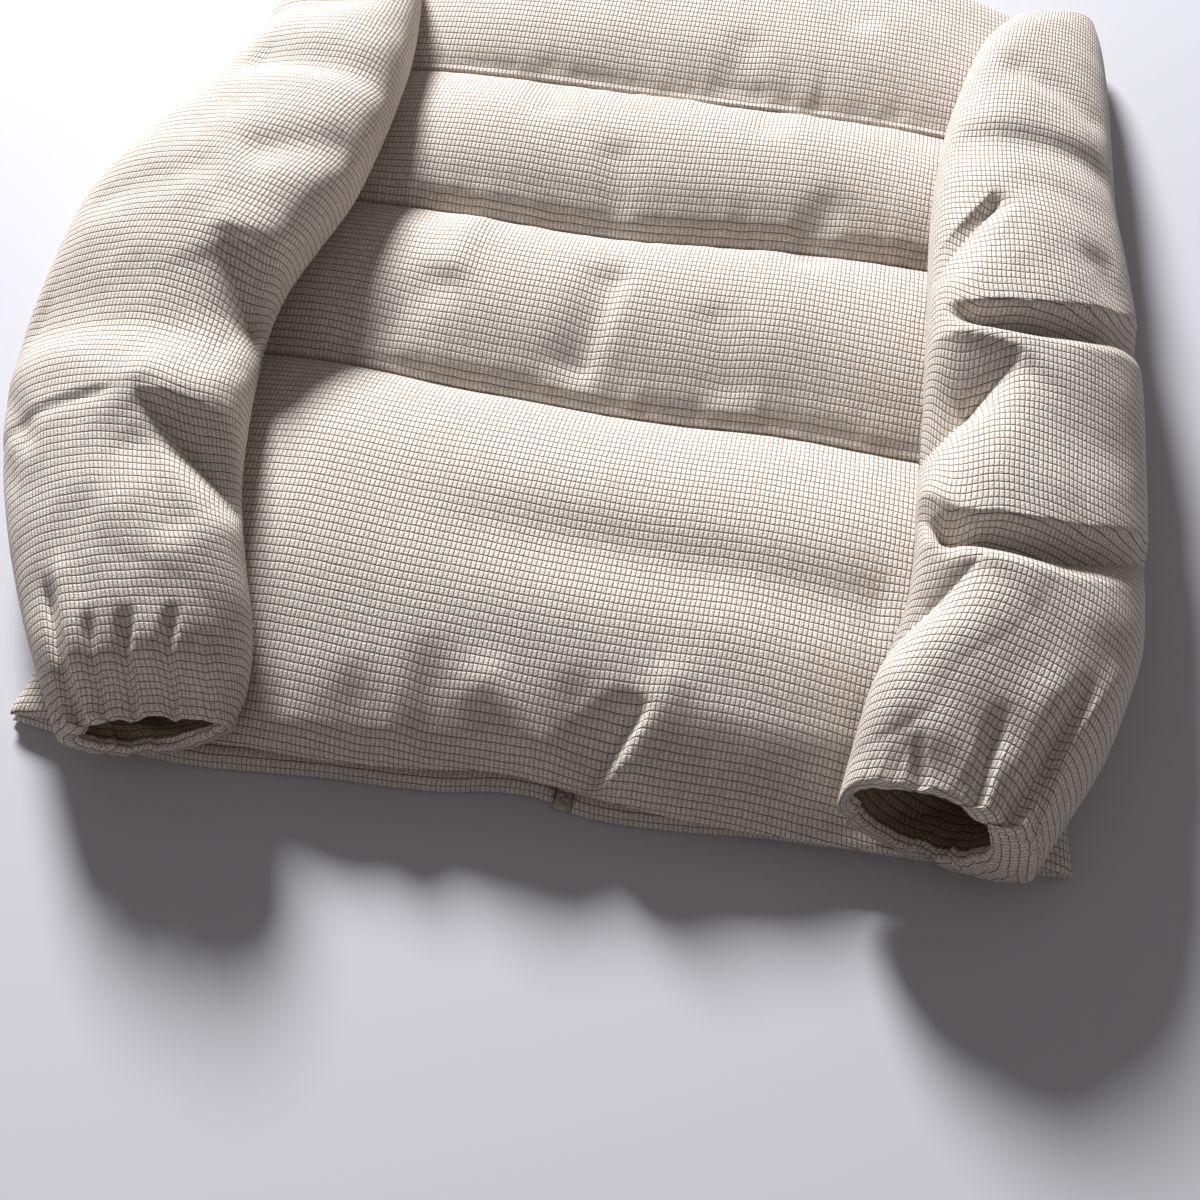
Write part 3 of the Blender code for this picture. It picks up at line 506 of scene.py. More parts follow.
class LaidBody:
    """The form of the body as it lies: the fronts on the floor and the quilted back on them."""

    @staticmethod
    def half_width(y: Array) -> Array:
        """Half the body's width at y."""
        return smooth(y, OUTLINE)

    @classmethod
    def out_to_seam(cls, x: Array, y: Array) -> Array:
        """How far out x is towards the side seam at y, from 0 to 1."""
        return np.clip(np.abs(x) / cls.half_width(y), 0, 1)

    @classmethod
    def interface(cls, x: Array, y: Array) -> Array:
        """Height where the fronts end and the back begins."""
        return SIDE_FRONT + (FRONT_TOP - SIDE_FRONT) * np.sqrt(1 - cls.out_to_seam(x, y) ** 5)

    @staticmethod
    def lines(x: Array) -> list[Array]:
        """The y of the back's hem, three cross seams and upper edge at x."""
        return [smooth(x, BACK_HEM)] + [smooth(x, CROSS_LINES, column) for column in (1, 2, 3, 4)]

    @classmethod
    def bottom(cls, x: Array, y: Array) -> Array:
        """Height of the back's inner face: on the fronts, and lifted along the hem.

        Args:
            x, y: plan points.

        Returns:
            The height at each point.
        """
        hem = smooth(x, BACK_HEM)
        on_fronts = cls.interface(x, y) + GAP
        lift = np.maximum(smooth(x, BACK_HEM, 2) - on_fronts, 0) * (1 - share(y, hem, hem + 0.070))
        return on_fronts + lift

    @classmethod
    def flattened(cls, x: Array, y: Array, height: Array) -> Array:
        """A height of the back's middle, as it is at x: lower to the side seams and under the cuffs.

        Args:
            x, y: plan points.
            height: the height that the middle has at y.

        Returns:
            The height at each point.
        """
        hem = smooth(x, BACK_HEM)
        height = height - smooth(x, BACK_HEM, 3) * (1 - share(y, hem, hem + 0.050))
        height = SIDE_BACK + (height - SIDE_BACK) * (1 - cls.out_to_seam(x, y) ** 3.2) ** 0.7
        for px, py, across, along, depth in PRESSED:
            height = height - depth * bell(x - px, across) * bell(y - py, along)
        return np.maximum(height, cls.bottom(x, y) + 0.0045)

    @classmethod
    def top(cls, x: Array, y: Array, k: int) -> Array:
        """Height of the outer face of the back's panel number k.

        Args:
            x, y: plan points.
            k: the panel's number, from 0 at the hem.

        Returns:
            The height at each point.
        """
        lines = cls.lines(x)
        rows = list(CHANNELS.values())[k]
        at = np.clip((y - lines[k]) / (lines[k + 1] - lines[k]), 0, 1)
        return cls.flattened(x, y, smooth(at, rows))

    @classmethod
    def support(cls, x: Array, y: Array) -> Array:
        """What a sleeve lies on: the back, and past its edges a short slope to the floor.

        Args:
            x, y: plan points.

        Returns:
            Its height at each point.
        """
        edge = cls.half_width(y) - 0.002
        low = np.minimum(smooth(x, BACK_HEM), 0.0)
        near = np.clip(x, -edge, edge)
        at = np.maximum(y, low)
        inside = cls.flattened(near, at, smooth(at, BEDDING))
        out_side = np.clip((np.abs(x) - edge - 0.004) / 0.034, 0, 1)
        out_hem = np.clip((low - 0.003 - y) / 0.022, 0, 1)
        outside = np.clip(np.hypot(out_side, out_hem), 0, 1)
        return inside * (1 - outside) + CLEAR


def linear(colour: str) -> tuple[float, float, float, float]:
    """Turns an sRGB hex colour into the linear one that shaders read.

    Args:
        colour: six hex digits after a number sign.

    Returns:
        Red, green, blue and an alpha of 1.
    """
    parts = [int(colour[i : i + 2], 16) / 255 for i in (1, 3, 5)]
    return (*(p / 12.92 if p <= 0.04045 else ((p + 0.055) / 1.055) ** 2.4 for p in parts), 1.0)


def add_node(
    tree: bpy.types.NodeTree, kind: str, settings: dict | None = None, **links: object
) -> bpy.types.Node:
    """Adds one node with its settings and links.

    Args:
        tree: the tree that it goes into.
        kind: the node's type name.
        settings: properties of the node, such as operation.
        links: inputs by number, as i0 or i1, or by name; each an output or a value.

    Returns:
        The new node.
    """
    node = tree.nodes.new(kind)
    for key, value in (settings or {}).items():
        setattr(node, key, value)
    for key, value in links.items():
        socket = node.inputs[int(key[1:]) if key[0] == "i" and key[1:].isdigit() else key]
        if isinstance(value, bpy.types.NodeSocket):
            tree.links.new(value, socket)
        else:
            socket.default_value = value
    return node


@dataclass(frozen=True)
class Finish:
    """What every finish shares: the real material's name and its roughness."""

    name: str
    roughness: float

    def start(self) -> tuple[bpy.types.Material, bpy.types.NodeTree, bpy.types.Node]:
        """Starts the material.

        Returns:
            The material, its tree and its shader.
        """
        made = bpy.data.materials.new(self.name)
        made.use_nodes = True
        shader = made.node_tree.nodes["Principled BSDF"]
        shader.inputs["Roughness"].default_value = self.roughness
        return made, made.node_tree, shader


@dataclass(frozen=True)
class WaffleCord(Finish):
    """Corduroy cut into a waffle of short raised cords, as on soft winter jackets.

    The cotton pile is cut in cells 2.7 mm wide and 4.8 mm long, so it gives the eye rows of
    matt rounded pips with a soft light edge. The brown shadow in the grooves between them is painted shade
    in the colour.
    """

    name: str = "waffle_corduroy"
    roughness: float = 0.92
    cord: str = "#E3D9D1"
    groove_shade_colour: str = "#54371F"
    cell_across: float = 0.00267
    cell_along: float = 0.0048
    depth: float = 0.0008
    wander: float = 0.0011
    profile: tuple[float, float, float] = (3.8, 6.5, 1.0)
    groove_width: tuple[float, float, float] = (0.60, 0.84, 1.0)
    groove_shade: tuple[float, float, float] = (0.52, 0.02, 1.0)

    def make(self) -> bpy.types.Material:
        """Builds the material from the cloth's own UV map, which is in metres.

        Returns:
            The new material.
        """
        made, tree, shader = self.start()
        cloth = add_node(tree, "ShaderNodeUVMap", {"uv_map": "cloth"}).outputs[0]
        # The cords wander by a third of a millimetre over a couple of centimetres
        drift = add_node(tree, "ShaderNodeTexNoise", None, Vector=cloth, Scale=70.0, Detail=1.0).outputs[1]
        at = add_node(tree, "ShaderNodeVectorMath", {"operation": "MULTIPLY_ADD"},
                      i0=drift, i1=(self.wander, self.wander, 0.0), i2=cloth).outputs[0]
        cells = add_node(tree, "ShaderNodeVectorMath", {"operation": "DIVIDE"},
                         i0=at, i1=(self.cell_across, self.cell_along, 1.0)).outputs[0]
        # Each cord rises from its edges to its middle, across and along
        edge = cells
        for operation, inputs in (
            ("FRACTION", {}),
            ("MULTIPLY_ADD", {"i1": (2.0, 2.0, 0.0), "i2": (-1.0, -1.0, 0.0)}),
            ("ABSOLUTE", {}),
            ("POWER", {"i1": self.profile}),
            ("MULTIPLY_ADD", {"i1": (-1.0, -1.0, 0.0), "i2": (1.0, 1.0, 0.0)}),
        ):
            step = add_node(tree, "ShaderNodeVectorMath", {"operation": operation}, i0=edge, **inputs)
            edge = step.outputs[0]
        # Painted shade darkens the grooves: wide and dark between rows, narrow between columns
        shade = add_node(
            tree, "ShaderNodeMapRange", {"data_type": "FLOAT_VECTOR", "interpolation_type": "SMOOTHSTEP"},
            Vector=edge, i8=self.groove_width, i9=self.groove_shade, i10=(1.0, 1.0, 1.0)).outputs[1]
        masks = []
        for vector in (edge, shade):
            split = add_node(tree, "ShaderNodeSeparateXYZ", None, i0=vector)
            masks.append(add_node(tree, "ShaderNodeMath", {"operation": "MULTIPLY"},
                                  i0=split.outputs[0], i1=split.outputs[1]).outputs[0])
        pip, groove_shade_mask = masks
        # Each pip is cut a little differently, and its pile is fluffy
        cell = add_node(tree, "ShaderNodeVectorMath", {"operation": "FLOOR"}, i0=cells).outputs[0]
        own = add_node(tree, "ShaderNodeTexWhiteNoise", {"noise_dimensions": "2D"}, Vector=cell).outputs[0]
        pile, worn = (
            add_node(tree, "ShaderNodeTexNoise", None, Vector=cloth, Scale=scale, Detail=detail).outputs[0]
            for scale, detail in ((1100.0, 2.0), (14.0, 3.0)))
        # Painted shade: the mask mixes the dark brown groove colour over the cord's colour in the grooves
        tint = add_node(tree, "ShaderNodeMix", {"data_type": "RGBA"}, i0=groove_shade_mask, i6=linear(self.groove_shade_colour),
                        i7=linear(self.cord)).outputs[2]
        # Sums of a part times an amount: the colour's brightness, how even a pip is, and the height
        value, uneven, height = 0.02, 0.8, 0.0
        add = {"operation": "MULTIPLY_ADD"}
        for part, amount in ((own, 0.14), (pile, 1.80), (worn, 0.14)):
            value = add_node(tree, "ShaderNodeMath", add, i0=part, i1=amount, i2=value).outputs[0]
        uneven = add_node(tree, "ShaderNodeMath", add, i0=own, i1=0.2, i2=uneven).outputs[0]
        for part, amount in ((uneven, pip), (pile, 0.70)):
            height = add_node(tree, "ShaderNodeMath", add, i0=part, i1=amount, i2=height).outputs[0]
        colour = add_node(tree, "ShaderNodeHueSaturation", None, Value=value, Color=tint).outputs[0]
        tree.links.new(colour, shader.inputs["Base Color"])
        bump = add_node(tree, "ShaderNodeBump", None, Strength=1.0, Distance=self.depth, Height=height)
        tree.links.new(bump.outputs[0], shader.inputs["Normal"])
        shader.inputs["Sheen Weight"].default_value = 0.10
        shader.inputs["Sheen Roughness"].default_value = 0.45
        shader.inputs["Sheen Tint"].default_value = (1.0, 0.96, 0.90, 1.0)
        shader.inputs["Specular IOR Level"].default_value = 0.12
        return made


@dataclass(frozen=True)
class SmallPartFinish(Finish):
    """A small part's finish: two close tones over a fine pattern in Object coordinates.

    The pattern is a noise, or ribs across the part where ribs gives their height.
    """

    light: str
    dark: str
    scale: float
    ribs: float = 0.0

    def make(self) -> bpy.types.Material:
        """Builds the material; returns it."""
        made, tree, shader = self.start()
        place = add_node(tree, "ShaderNodeTexCoord").outputs["Object"]
        if self.ribs:
            bands = {"wave_type": "BANDS", "bands_direction": "Y"}
            pattern = add_node(tree, "ShaderNodeTexWave", bands, Vector=place, Scale=self.scale,
                               Distortion=0.4).outputs["Fac"]
            bump = add_node(tree, "ShaderNodeBump", None, Strength=0.6, Distance=self.ribs, Height=pattern)
            tree.links.new(bump.outputs[0], shader.inputs["Normal"])
        else:
            pattern = add_node(tree, "ShaderNodeTexNoise", None, Vector=place, Scale=self.scale).outputs[0]
        tint = add_node(tree, "ShaderNodeMix", {"data_type": "RGBA"}, i0=pattern, i6=linear(self.dark),
                        i7=linear(self.light)).outputs[2]
        tree.links.new(tint, shader.inputs["Base Color"])
        return made


@dataclass(frozen=True)
class WovenTape(SmallPartFinish):
    """Polyester tape of a zip, woven plain: close fine ribs across it, a little shiny."""

    name: str = "woven_polyester_tape"
    roughness: float = 0.62
    light: str = "#DDD5C8"
    dark: str = "#CCC2B2"
    scale: float = 500.0
    ribs: float = 0.0002


@dataclass(frozen=True)
class MouldedResin(SmallPartFinish):
    """Acetal resin of zip teeth, injection moulded: even, with a soft shine."""

    name: str = "moulded_acetal"
    roughness: float = 0.42
    light: str = "#E4DCCE"
    dark: str = "#C2B7A6"
    scale: float = 900.0


@dataclass(frozen=True)
class SewingThread(SmallPartFinish):
    """Spun polyester thread, two plies: matt, two shades darker than the cloth."""

    name: str = "spun_sewing_thread"
    roughness: float = 0.80
    light: str = "#8E7A64"
    dark: str = "#6A5744"
    scale: float = 2500.0


def to_mesh(bm: bmesh.types.BMesh, name: str) -> bpy.types.Mesh:
    """Turns a finished bmesh into a mesh of that name; returns it."""
    mesh = bpy.data.meshes.new(name)
    bm.to_mesh(mesh)
    bm.free()
    return mesh


def place_object(name: str, data: bpy.types.ID) -> bpy.types.Object:
    """Makes an object at the origin and links it to the scene; returns it."""
    made = bpy.data.objects.new(name, data)
    bpy.context.scene.collection.objects.link(made)
    return made


@dataclass
class Piece:
    """What every piece shares: its name, the CAD nodes it stands for and its finish."""

    name: str
    nodes: tuple[str, ...]
    slot: str
    look: bpy.types.Material
    fill: float | None = 0.6
    lining_shade_look: bpy.types.Material | None = None

    def hand_over(self, mesh: bpy.types.Mesh) -> bpy.types.Object:
        """Shows a finished mesh as the piece, riding on the jacket's one body.

        Args:
            mesh: the mesh, in the garment's own measurements.

        Returns:
            The piece's object.
        """
        mesh.transform(Matrix.Translation((-CENTRE_X, -CENTRE_Y, 0.0)))
        mesh.shade_smooth()
        mesh.materials.append(self.look)
        # A sleeve's second finish darkens its turned-in lining with painted shade
        if self.lining_shade_look:
            mesh.materials.append(self.lining_shade_look)
        piece = place_object(self.name, mesh)
        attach(piece, "root")
        if self.nodes:
            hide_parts(*self.nodes)
        LOG.info("%s: %d faces", self.name, len(mesh.polygons))
        return piece


def arc(points: Array, axis: int, start: int) -> Array:
    """Length along the cloth's own grid lines.

    Args:
        points: the grid's points, as rows along and columns across.
        axis: 0 for the length along the columns, 1 for across the rows.
        start: the line that the length is counted from.

    Returns:
        The length at each grid point, below zero before the start.
    """
    steps = np.linalg.norm(np.diff(points, axis=axis), axis=2)
    pad = [(0, 0), (0, 0)]
    pad[axis] = (1, 0)
    length = np.cumsum(np.pad(steps, pad), axis=axis)
    return length - np.take(length, [start], axis=axis)


def grid_mesh(
    name: str, cells: tuple[int, int], points: Array, lining: Array | None = None,
    weave: tuple[Array, Array] | None = None, around: bool = False, inside: int = 0
) -> bpy.types.Mesh:
    """A grid of cloth with its own UV map in metres, moved to its points.

    Args:
        name: the mesh's name.
        cells: how many cells across and along.
        points: a point for each grid corner, rows along and columns across.
        lining: points of the inner face, where the piece has two faces from one grid.
        weave: lengths across and along the cloth at each corner, where the points don't give them.
        around: True for a grid rolled into a closed tube whose ends come to a point.
        inside: how many rows, from the first, take the piece's second finish.

    Returns:
        The mesh.
    """
    bm = bmesh.new()
    uv_layer = bm.loops.layers.uv.new("cloth")
    bmesh.ops.create_grid(bm, x_segments=cells[0], y_segments=cells[1], size=0.5, calc_uvs=True)

    def numbers(verts: list[bmesh.types.BMVert]) -> tuple[Array, Array]:
        """Row and column of each vertex, while the grid is still flat."""
        flat = np.array([vert.co[:] for vert in verts])
        column, row = (np.rint((flat[:, k] + 0.5) * cells[k]).astype(int) for k in (0, 1))
        return row, column

    verts = list(bm.verts)
    row, column = numbers(verts)
    across, along = weave or (arc(points, 1, cells[0] // 2), arc(points, 0, 0))
    place = dict(zip(verts, zip(row, column)))
    for face in bm.faces:
        for loop in face.loops:
            at = place[loop.vert]
            loop[uv_layer].uv = (across[at], along[at])
            face.material_index = int(at[0] < inside)
    sides = [(verts, (row, column), points if lining is None else lining)]
    if lining is not None:
        made = bmesh.ops.extrude_face_region(bm, geom=bm.faces[:], use_keep_orig=True)
        outside = [item for item in made["geom"] if isinstance(item, bmesh.types.BMVert)]
        sides.append((outside, numbers(outside), points))
    for moved, at, targets in sides:
        for vert, point in zip(moved, targets[at]):
            vert.co = point
    if around:
        rim = [vert for vert, j, i in zip(verts, row, column) if i in (0, cells[0]) or j in (0, cells[1])]
        bmesh.ops.remove_doubles(bm, verts=rim, dist=2e-6)
    bmesh.ops.recalc_face_normals(bm, faces=bm.faces)
    return to_mesh(bm, name)


def body_plan(u: Array, v: Array, low: Callable, high: Callable) -> tuple[Array, Array]:
    """Plan points of a panel between two lines that are functions of x.

    Args:
        u, v: shares across and along, from 0 to 1.
        low, high: the panel's lower and upper line.

    Returns:
        x and y of each point.
    """
    w = 2 * u - 1
    w = 0.80 * w + 0.20 * np.sin(w * math.pi / 2)
    x = w * 0.290
    for _ in range(3):
        y = low(x) + (high(x) - low(x)) * v
        x = w * LaidBody.half_width(y)
    return x, low(x) + (high(x) - low(x)) * v


@dataclass
class BackPanel(Piece):
    """One quilted channel of the back, padded, with its seams drawn in."""

    number: int = 0
    cells: tuple[int, int] = (240, 60)
    edge: float = 0.0150
    side_edge: float = 0.0060
    top_edge: float = 0.0100
    seam_depth: float = 0.0016
    welt: float = 0.0012
    pucker: float = 0.0015
    stitched_to: float = 0.280
    stitch_pitch: float = 0.0033
    stitch_slant: float = 0.45
    stitch_size: tuple[float, float, float] = (0.0013, 0.00045, 0.0006)

    def low(self, x: Array) -> Array:
        """The panel's lower line."""
        return LaidBody.lines(x)[self.number] + (GAP / 2 if self.number else -0.0020)

    def high(self, x: Array) -> Array:
        """The panel's upper line."""
        return LaidBody.lines(x)[self.number + 1] - (GAP / 2 if self.number < 3 else 0.0)

    def relief(self, x: Array, y: Array) -> Array:
        """Folds, puckers and unevenness of the padding at x, y, as a change of height.

        Args:
            x, y: plan points.

        Returns:
            The change at each point.
        """
        up, down = y - self.low(x), self.high(x) - y
        seams = np.clip(np.minimum(up if self.number else up + 0.012, down) / 0.012, 0, 1)
        change = -sum(fold.dip(x, y) for fold in BACK_FOLDS) * np.maximum(seams, 0.5 * (self.number == 0))
        # Nothing stands up under the sleeves
        clear = 1 - share(np.abs(x), 0.150, 0.190)
        large, small = swell(x, y, 0.085, 11 + self.number), swell(x, 0.6 * y, 0.030, 21 + self.number)
        soft = 0.0018 * large + 0.0004 * small
        change = change + np.where(soft > 0, soft * clear, soft) * seams
        for distance, seed in ((up, 31), (down, 41)):
            reach = 0.018 + 0.010 * ripple(x, 0.045, seed + self.number)
            waves = 0.65 * ripple(x + 0.10 * y, 0.012, seed + 3 + self.number)
            waves = waves + 0.35 * ripple(x, 0.0065, seed + 7)
            waves = waves * clear * bell(distance, reach) * share(distance, 0.0, 0.007)
            change = change + self.pucker * waves
        return change

    def build(self) -> bpy.types.Object:
        """Builds the panel and hands it over."""
        u, v = shares(self.cells)
        x, y = body_plan(u, crowded(v), self.low, self.high)
        bottom = LaidBody.bottom(x, y)
        plain, folded = (self.skin(x, y, bottom, relief) for relief in (0.0, self.relief(x, y)))
        # The hem channel's rows run with the seam above it, and the others' with the seam below
        weave = (arc(plain, 1, self.cells[0] // 2), arc(plain, 0, 0 if self.number else self.cells[1]))
        lining = np.stack([x, y, bottom], axis=-1)
        return self.hand_over(grid_mesh(self.name, self.cells, folded, lining, weave))

    def build_stitches(self, thread: bpy.types.Material) -> bpy.types.Object:
        """Builds the row of slanted stitches along the panel's upper seam as one piece of its own.

        Args:
            thread: what the stitches are made of.

        Returns:
            The stitches' object.
        """
        x = np.arange(-self.stitched_to, self.stitched_to, self.stitch_pitch)
        y = self.high(x) - 0.0018
        z = self.skin(x, y, LaidBody.bottom(x, y), self.relief(x, y))[:, 2]
        size = Matrix.Diagonal((*self.stitch_size, 1.0))
        bm = bmesh.new()
        for point, run in zip(zip(x, y, z), np.gradient(y, x)):
            turn = Matrix.Rotation(math.atan(run) + self.stitch_slant, 4, "Z")
            matrix = Matrix.Translation(point) @ turn @ size
            bmesh.ops.create_icosphere(bm, subdivisions=1, radius=1.0, matrix=matrix)
        name = f"{self.name}_stitches"
        return Piece(name, (), self.slot, thread, None).hand_over(to_mesh(bm, name))

    def skin(self, x: Array, y: Array, bottom: Array, relief: Array | float) -> Array:
        """Points of the panel's outer face.

        Args:
            x, y: plan points.
            bottom: height of the inner face.
            relief: what the folds and the padding add to the height.

        Returns:
            The points.
        """
        z = LaidBody.top(x, y, self.number) + relief
        up, down = y - self.low(x), self.high(x) - y
        # The upper panel's edge stands as a thin welt over the seam, and the lower one's dips under it
        if self.number:
            z = z + self.welt * bell(up, 0.0022)
        if self.number < 3:
            z = z - self.seam_depth * bell(down, 0.0030)
        z = np.maximum(z, bottom + 0.0035)
        edge = rounded(LaidBody.half_width(y) + 0.0010 - np.abs(x), self.side_edge)
        if self.number == 0:
            edge = edge * rounded(up, self.edge)
        if self.number == 3:
            edge = edge * rounded(down, self.top_edge)
        low = bottom + CLEAR
        return np.stack([x, y, low + (z - low) * np.maximum(edge, 0.02)], axis=-1)


@dataclass
class FrontPanel(Piece):
    """One front, padded, lying on the floor under the back."""

    side: float = 1.0
    cells: tuple[int, int] = (110, 150)
    edge_height: float = 0.0062
    edge_roll: float = 0.0045
    hem_out: float = 0.0010
    seam_depth: float = 0.0018

    def plan(self, u: Array, v: Array) -> tuple[Array, Array]:
        """Plan points for shares across from the opening and along from the hem.

        Args:
            u, v: shares across and along, from 0 to 1.

        Returns:
            x and y of each point.
        """
        reach = 0.292 * u
        for _ in range(4):
            x = self.side * reach
            low, high = smooth(x, FRONT_HEM) - self.hem_out, smooth(x, CROSS_LINES, 5)
            y = low + (high - low) * v
            inner = self.side * smooth(y, FRONT_OPENING) + ZIP_HALF + GAP
            reach = inner + (LaidBody.half_width(y) - inner) * u
        return self.side * reach, y

    def build(self) -> bpy.types.Object:
        """Builds the front and hands it over."""
        u, v = shares(self.cells)
        x, y = self.plan(crowded(u), crowded(v))
        hem, top = y - smooth(x, FRONT_HEM), smooth(x, CROSS_LINES, 5) - y
        by_zip = np.abs(x - smooth(y, FRONT_OPENING)) - ZIP_HALF
        near = np.minimum(np.minimum(hem / 0.045, (top + 0.006) / 0.028), by_zip / 0.028)
        below = LaidBody.interface(x, y) - 0.0012
        high = np.minimum(self.edge_height, below)
        high = high + np.maximum(below - self.edge_height, 0) * rounded(near, 1.0)
        # The hem's rolled edge, and the channel seams drawn in on the side that lies on the floor
        side = LaidBody.half_width(y) - np.abs(x)
        edges = np.minimum(np.minimum(hem + self.hem_out, top), np.minimum(side, by_zip))
        keep = np.maximum(rounded(edges, self.edge_roll), 0.03)
        seams = sum(bell(y - line, 0.006) for line in LaidBody.lines(x)[1:4])
        low, middle = self.seam_depth * np.clip(seams, 0, 1), 0.42 * high
        faces = (np.stack([x, y, middle + (height - middle) * keep], axis=-1) for height in (high, low))
        return self.hand_over(grid_mesh(self.name, self.cells, *faces))


@dataclass
class Sleeve(Piece):
    """A padded sleeve folded down over the back, with its gathered cuff.

    One grid is rolled round it. Its rows run from the hollow's end out along the lining,
    round the cuff's lip and back along the outer face to the shoulder.
    """

    side: str = "right"
    cells: tuple[int, int] = (250, 390)
    hollow: float = 3.1
    lining_share: float = 0.13
    lip_share: float = 0.02
    rolls: float = 0.0030
    round_across: float = 0.86
    round_up: float = 0.80
    round_down: float = 0.75
    least_hollow: float = 0.0022
    gather_depth: float = 0.0052
    shoulder: float = 0.97
    ease_across: float = 8.0
    ease_along: float = 0.090
    outer_roll: float = field(init=False)
    draw_in: float = field(init=False)
    table: Array = field(init=False)

    def __post_init__(self) -> None:
        """Numbers the rings and reads the cuff's own measures."""
        rows = SLEEVES[self.side]
        self.table = np.column_stack([np.arange(len(rows)), rows])
        self.outer_roll, self.draw_in = CUFFS[self.side]

    def ring(self, theta: Array, t: Array) -> tuple[Array, Array, Array]:
        """Outer, inner and unfolded outer points of the sleeve.

        Args:
            theta: angle round it, 0 at its inner edge and a quarter turn at its top.
            t: ring number, which need not be whole.

        Returns:
            The outer points, the inner points, and the outer points without the folds.
        """
        ix, iy, ox, oy, iz, oz, rise, wall, lean = (smooth(t, self.table, column) for column in range(1, 10))
        cosine, sine = np.cos(theta), np.sin(theta)
        width = np.hypot(ox - ix, oy - iy)
        back_x = -np.abs(oy - iy) / width * np.sign(oy - iy) * np.sign(ox - ix)
        back_y = np.abs(ox - ix) / width
        gap = REST_GAP + (SEWN_GAP - REST_GAP) * share(t, 11.0, 14.0)

        def laid(across: Array) -> tuple[Array, Array, Array, Array]:
            """Plan points at shares across, and there the height of the sleeve's edges and underside."""
            x = ix + (ox - ix) * across + back_x * lean * sine
            y = iy + (oy - iy) * across + back_y * lean * sine
            under = LaidBody.support(x, y) + gap
            line = np.maximum(iz + (oz - iz) * across, under + 0.5 * wall)
            return x, y, line, np.maximum(under, line - 0.018 - 0.012 * t)

        across = 0.5 - 0.5 * np.sign(cosine) * np.abs(cosine) ** self.round_across
        x, y, line, low = laid(across)
        up, down = np.clip(sine, 0, 1) ** self.round_up, np.clip(-sine, 0, 1) ** self.round_down
        folds = SLEEVE_FOLDS[self.side]
        dips = sum(fold.dip(x, y) for fold in folds)
        soft = 0.0016 * swell(x, y, 0.045, 61) + 0.0007 * swell(x, y, 0.020, 62)
        drawn = self.draw_in * (1 - share(t, 0.10, 0.95))
        plain = np.stack([x, y, line + rise * up + (low - line) * down], axis=-1)
        height = line + (rise - drawn) * up - (dips - soft) * up**0.7 + (low - line) * down
        leans = [fold.lean(x, y) for fold in folds if isinstance(fold, Fold) and fold.push]
        x, y = x + sum(a for a, _ in leans) * up, y + sum(b for _, b in leans) * up
        outer = np.stack([x, y, height], axis=-1)

        # The lining lies a wall's thickness inside, and its folds are those of its own places
        start = wall / width
        across = start + (1 - 2 * start - self.outer_roll * (1 - share(t, 0.5, 3.0))) * across
        x, y, line, low = laid(across)
        level = np.sqrt(np.clip(1 - (2 * across - 1) ** 2, 0, 1))
        dips = sum(fold.dip(x, y) for fold in folds)
        high = line + (rise - drawn) * level**0.8 - dips * level**0.7 - wall
        low = low * level**0.75 + line * (1 - level**0.75) + 0.75 * wall
        middle, half = (high + low) / 2, np.maximum((high - low) / 2, self.least_hollow)
        return outer, np.stack([x, y, middle + half * sine], axis=-1), plain

    def gathers(self, theta: Array, t: Array) -> Array:
        """How the elastic draws the cuff in: uneven pleats round it that fade up the sleeve.

        Args:
            theta: angle round the sleeve.
            t: ring number.

        Returns:
            The pleats, above zero where the cloth stands out.
        """
        at = theta / math.tau * 0.30
        large, small = (
            np.sqrt(np.abs(ripple(at + turn * t, pitch, seed))) - 0.62
            for turn, pitch, seed in ((0.003, 0.0160, 51), (-0.002, 0.0056, 57)))
        calm = 0.25 + 0.75 * np.abs(np.sin(theta))
        return calm * (large * bell(t, 0.90) + 0.45 * small * bell(t, 0.40))

    def weave(self, points: Array, plain: Array, lip_row: int, sine: Array) -> tuple[Array, Array]:
        """Lengths of the cloth across and along, for a weave whose rows run round the sleeve.

        Args:
            points: the sleeve's points.
            plain: the same without folds, which the lengths across are read from.
            lip_row: the row at the cuff's lip, which the lengths along are counted from.
            sine: how high each column lies round the sleeve, from -1 to 1.

        Returns:
            The lengths at each point.
        """
        top = slice(self.cells[0] // 4, 3 * self.cells[0] // 4)
        along = np.repeat(arc(points, 0, lip_row)[:, top].mean(axis=1, keepdims=True), len(sine), axis=1)
        steps = np.linalg.norm(np.diff(points, axis=0), axis=2)
        extra = (steps - steps[:, top].mean(axis=1, keepdims=True)) * share(sine, -0.5, 0.1)
        # A fold takes more cloth than the rest of the row, which the rows after it even out again
        blur = bell(math.pi * np.fft.fftfreq(self.cells[0]) * self.ease_across, math.sqrt(0.5))
        extra[:, :-1] = np.real(np.fft.ifft(np.fft.fft(extra[:, :-1], axis=1) * blur, axis=1))
        taken = np.zeros_like(sine)
        for row in range(lip_row, self.cells[1]):
            taken = taken * (1 - np.minimum(steps[row] / self.ease_along, 1)) + extra[row]
            along[row + 1] += taken
        along[:, -1] = along[:, 0]
        return arc(plain, 1, self.cells[0] // 2), along

    def build(self) -> bpy.types.Object:
        """Builds the sleeve and hands it over."""
        last = len(self.table) - 1
        u, v = shares(self.cells)
        theta = u * math.tau - math.pi / 2
        is_lining = v <= self.lining_share
        start = self.lining_share + self.lip_share
        inside = np.clip(v / self.lining_share, 0, 1)
        lip = np.clip((v - self.lining_share) / self.lip_share, 0, 1)
        along = np.clip((v - start) / (1 - start), 0, 1)
        t = np.where(is_lining, self.hollow * (1 - inside), last * np.clip(along / self.shoulder, 0, 1))
        outer, inner, plain = self.ring(theta, t)
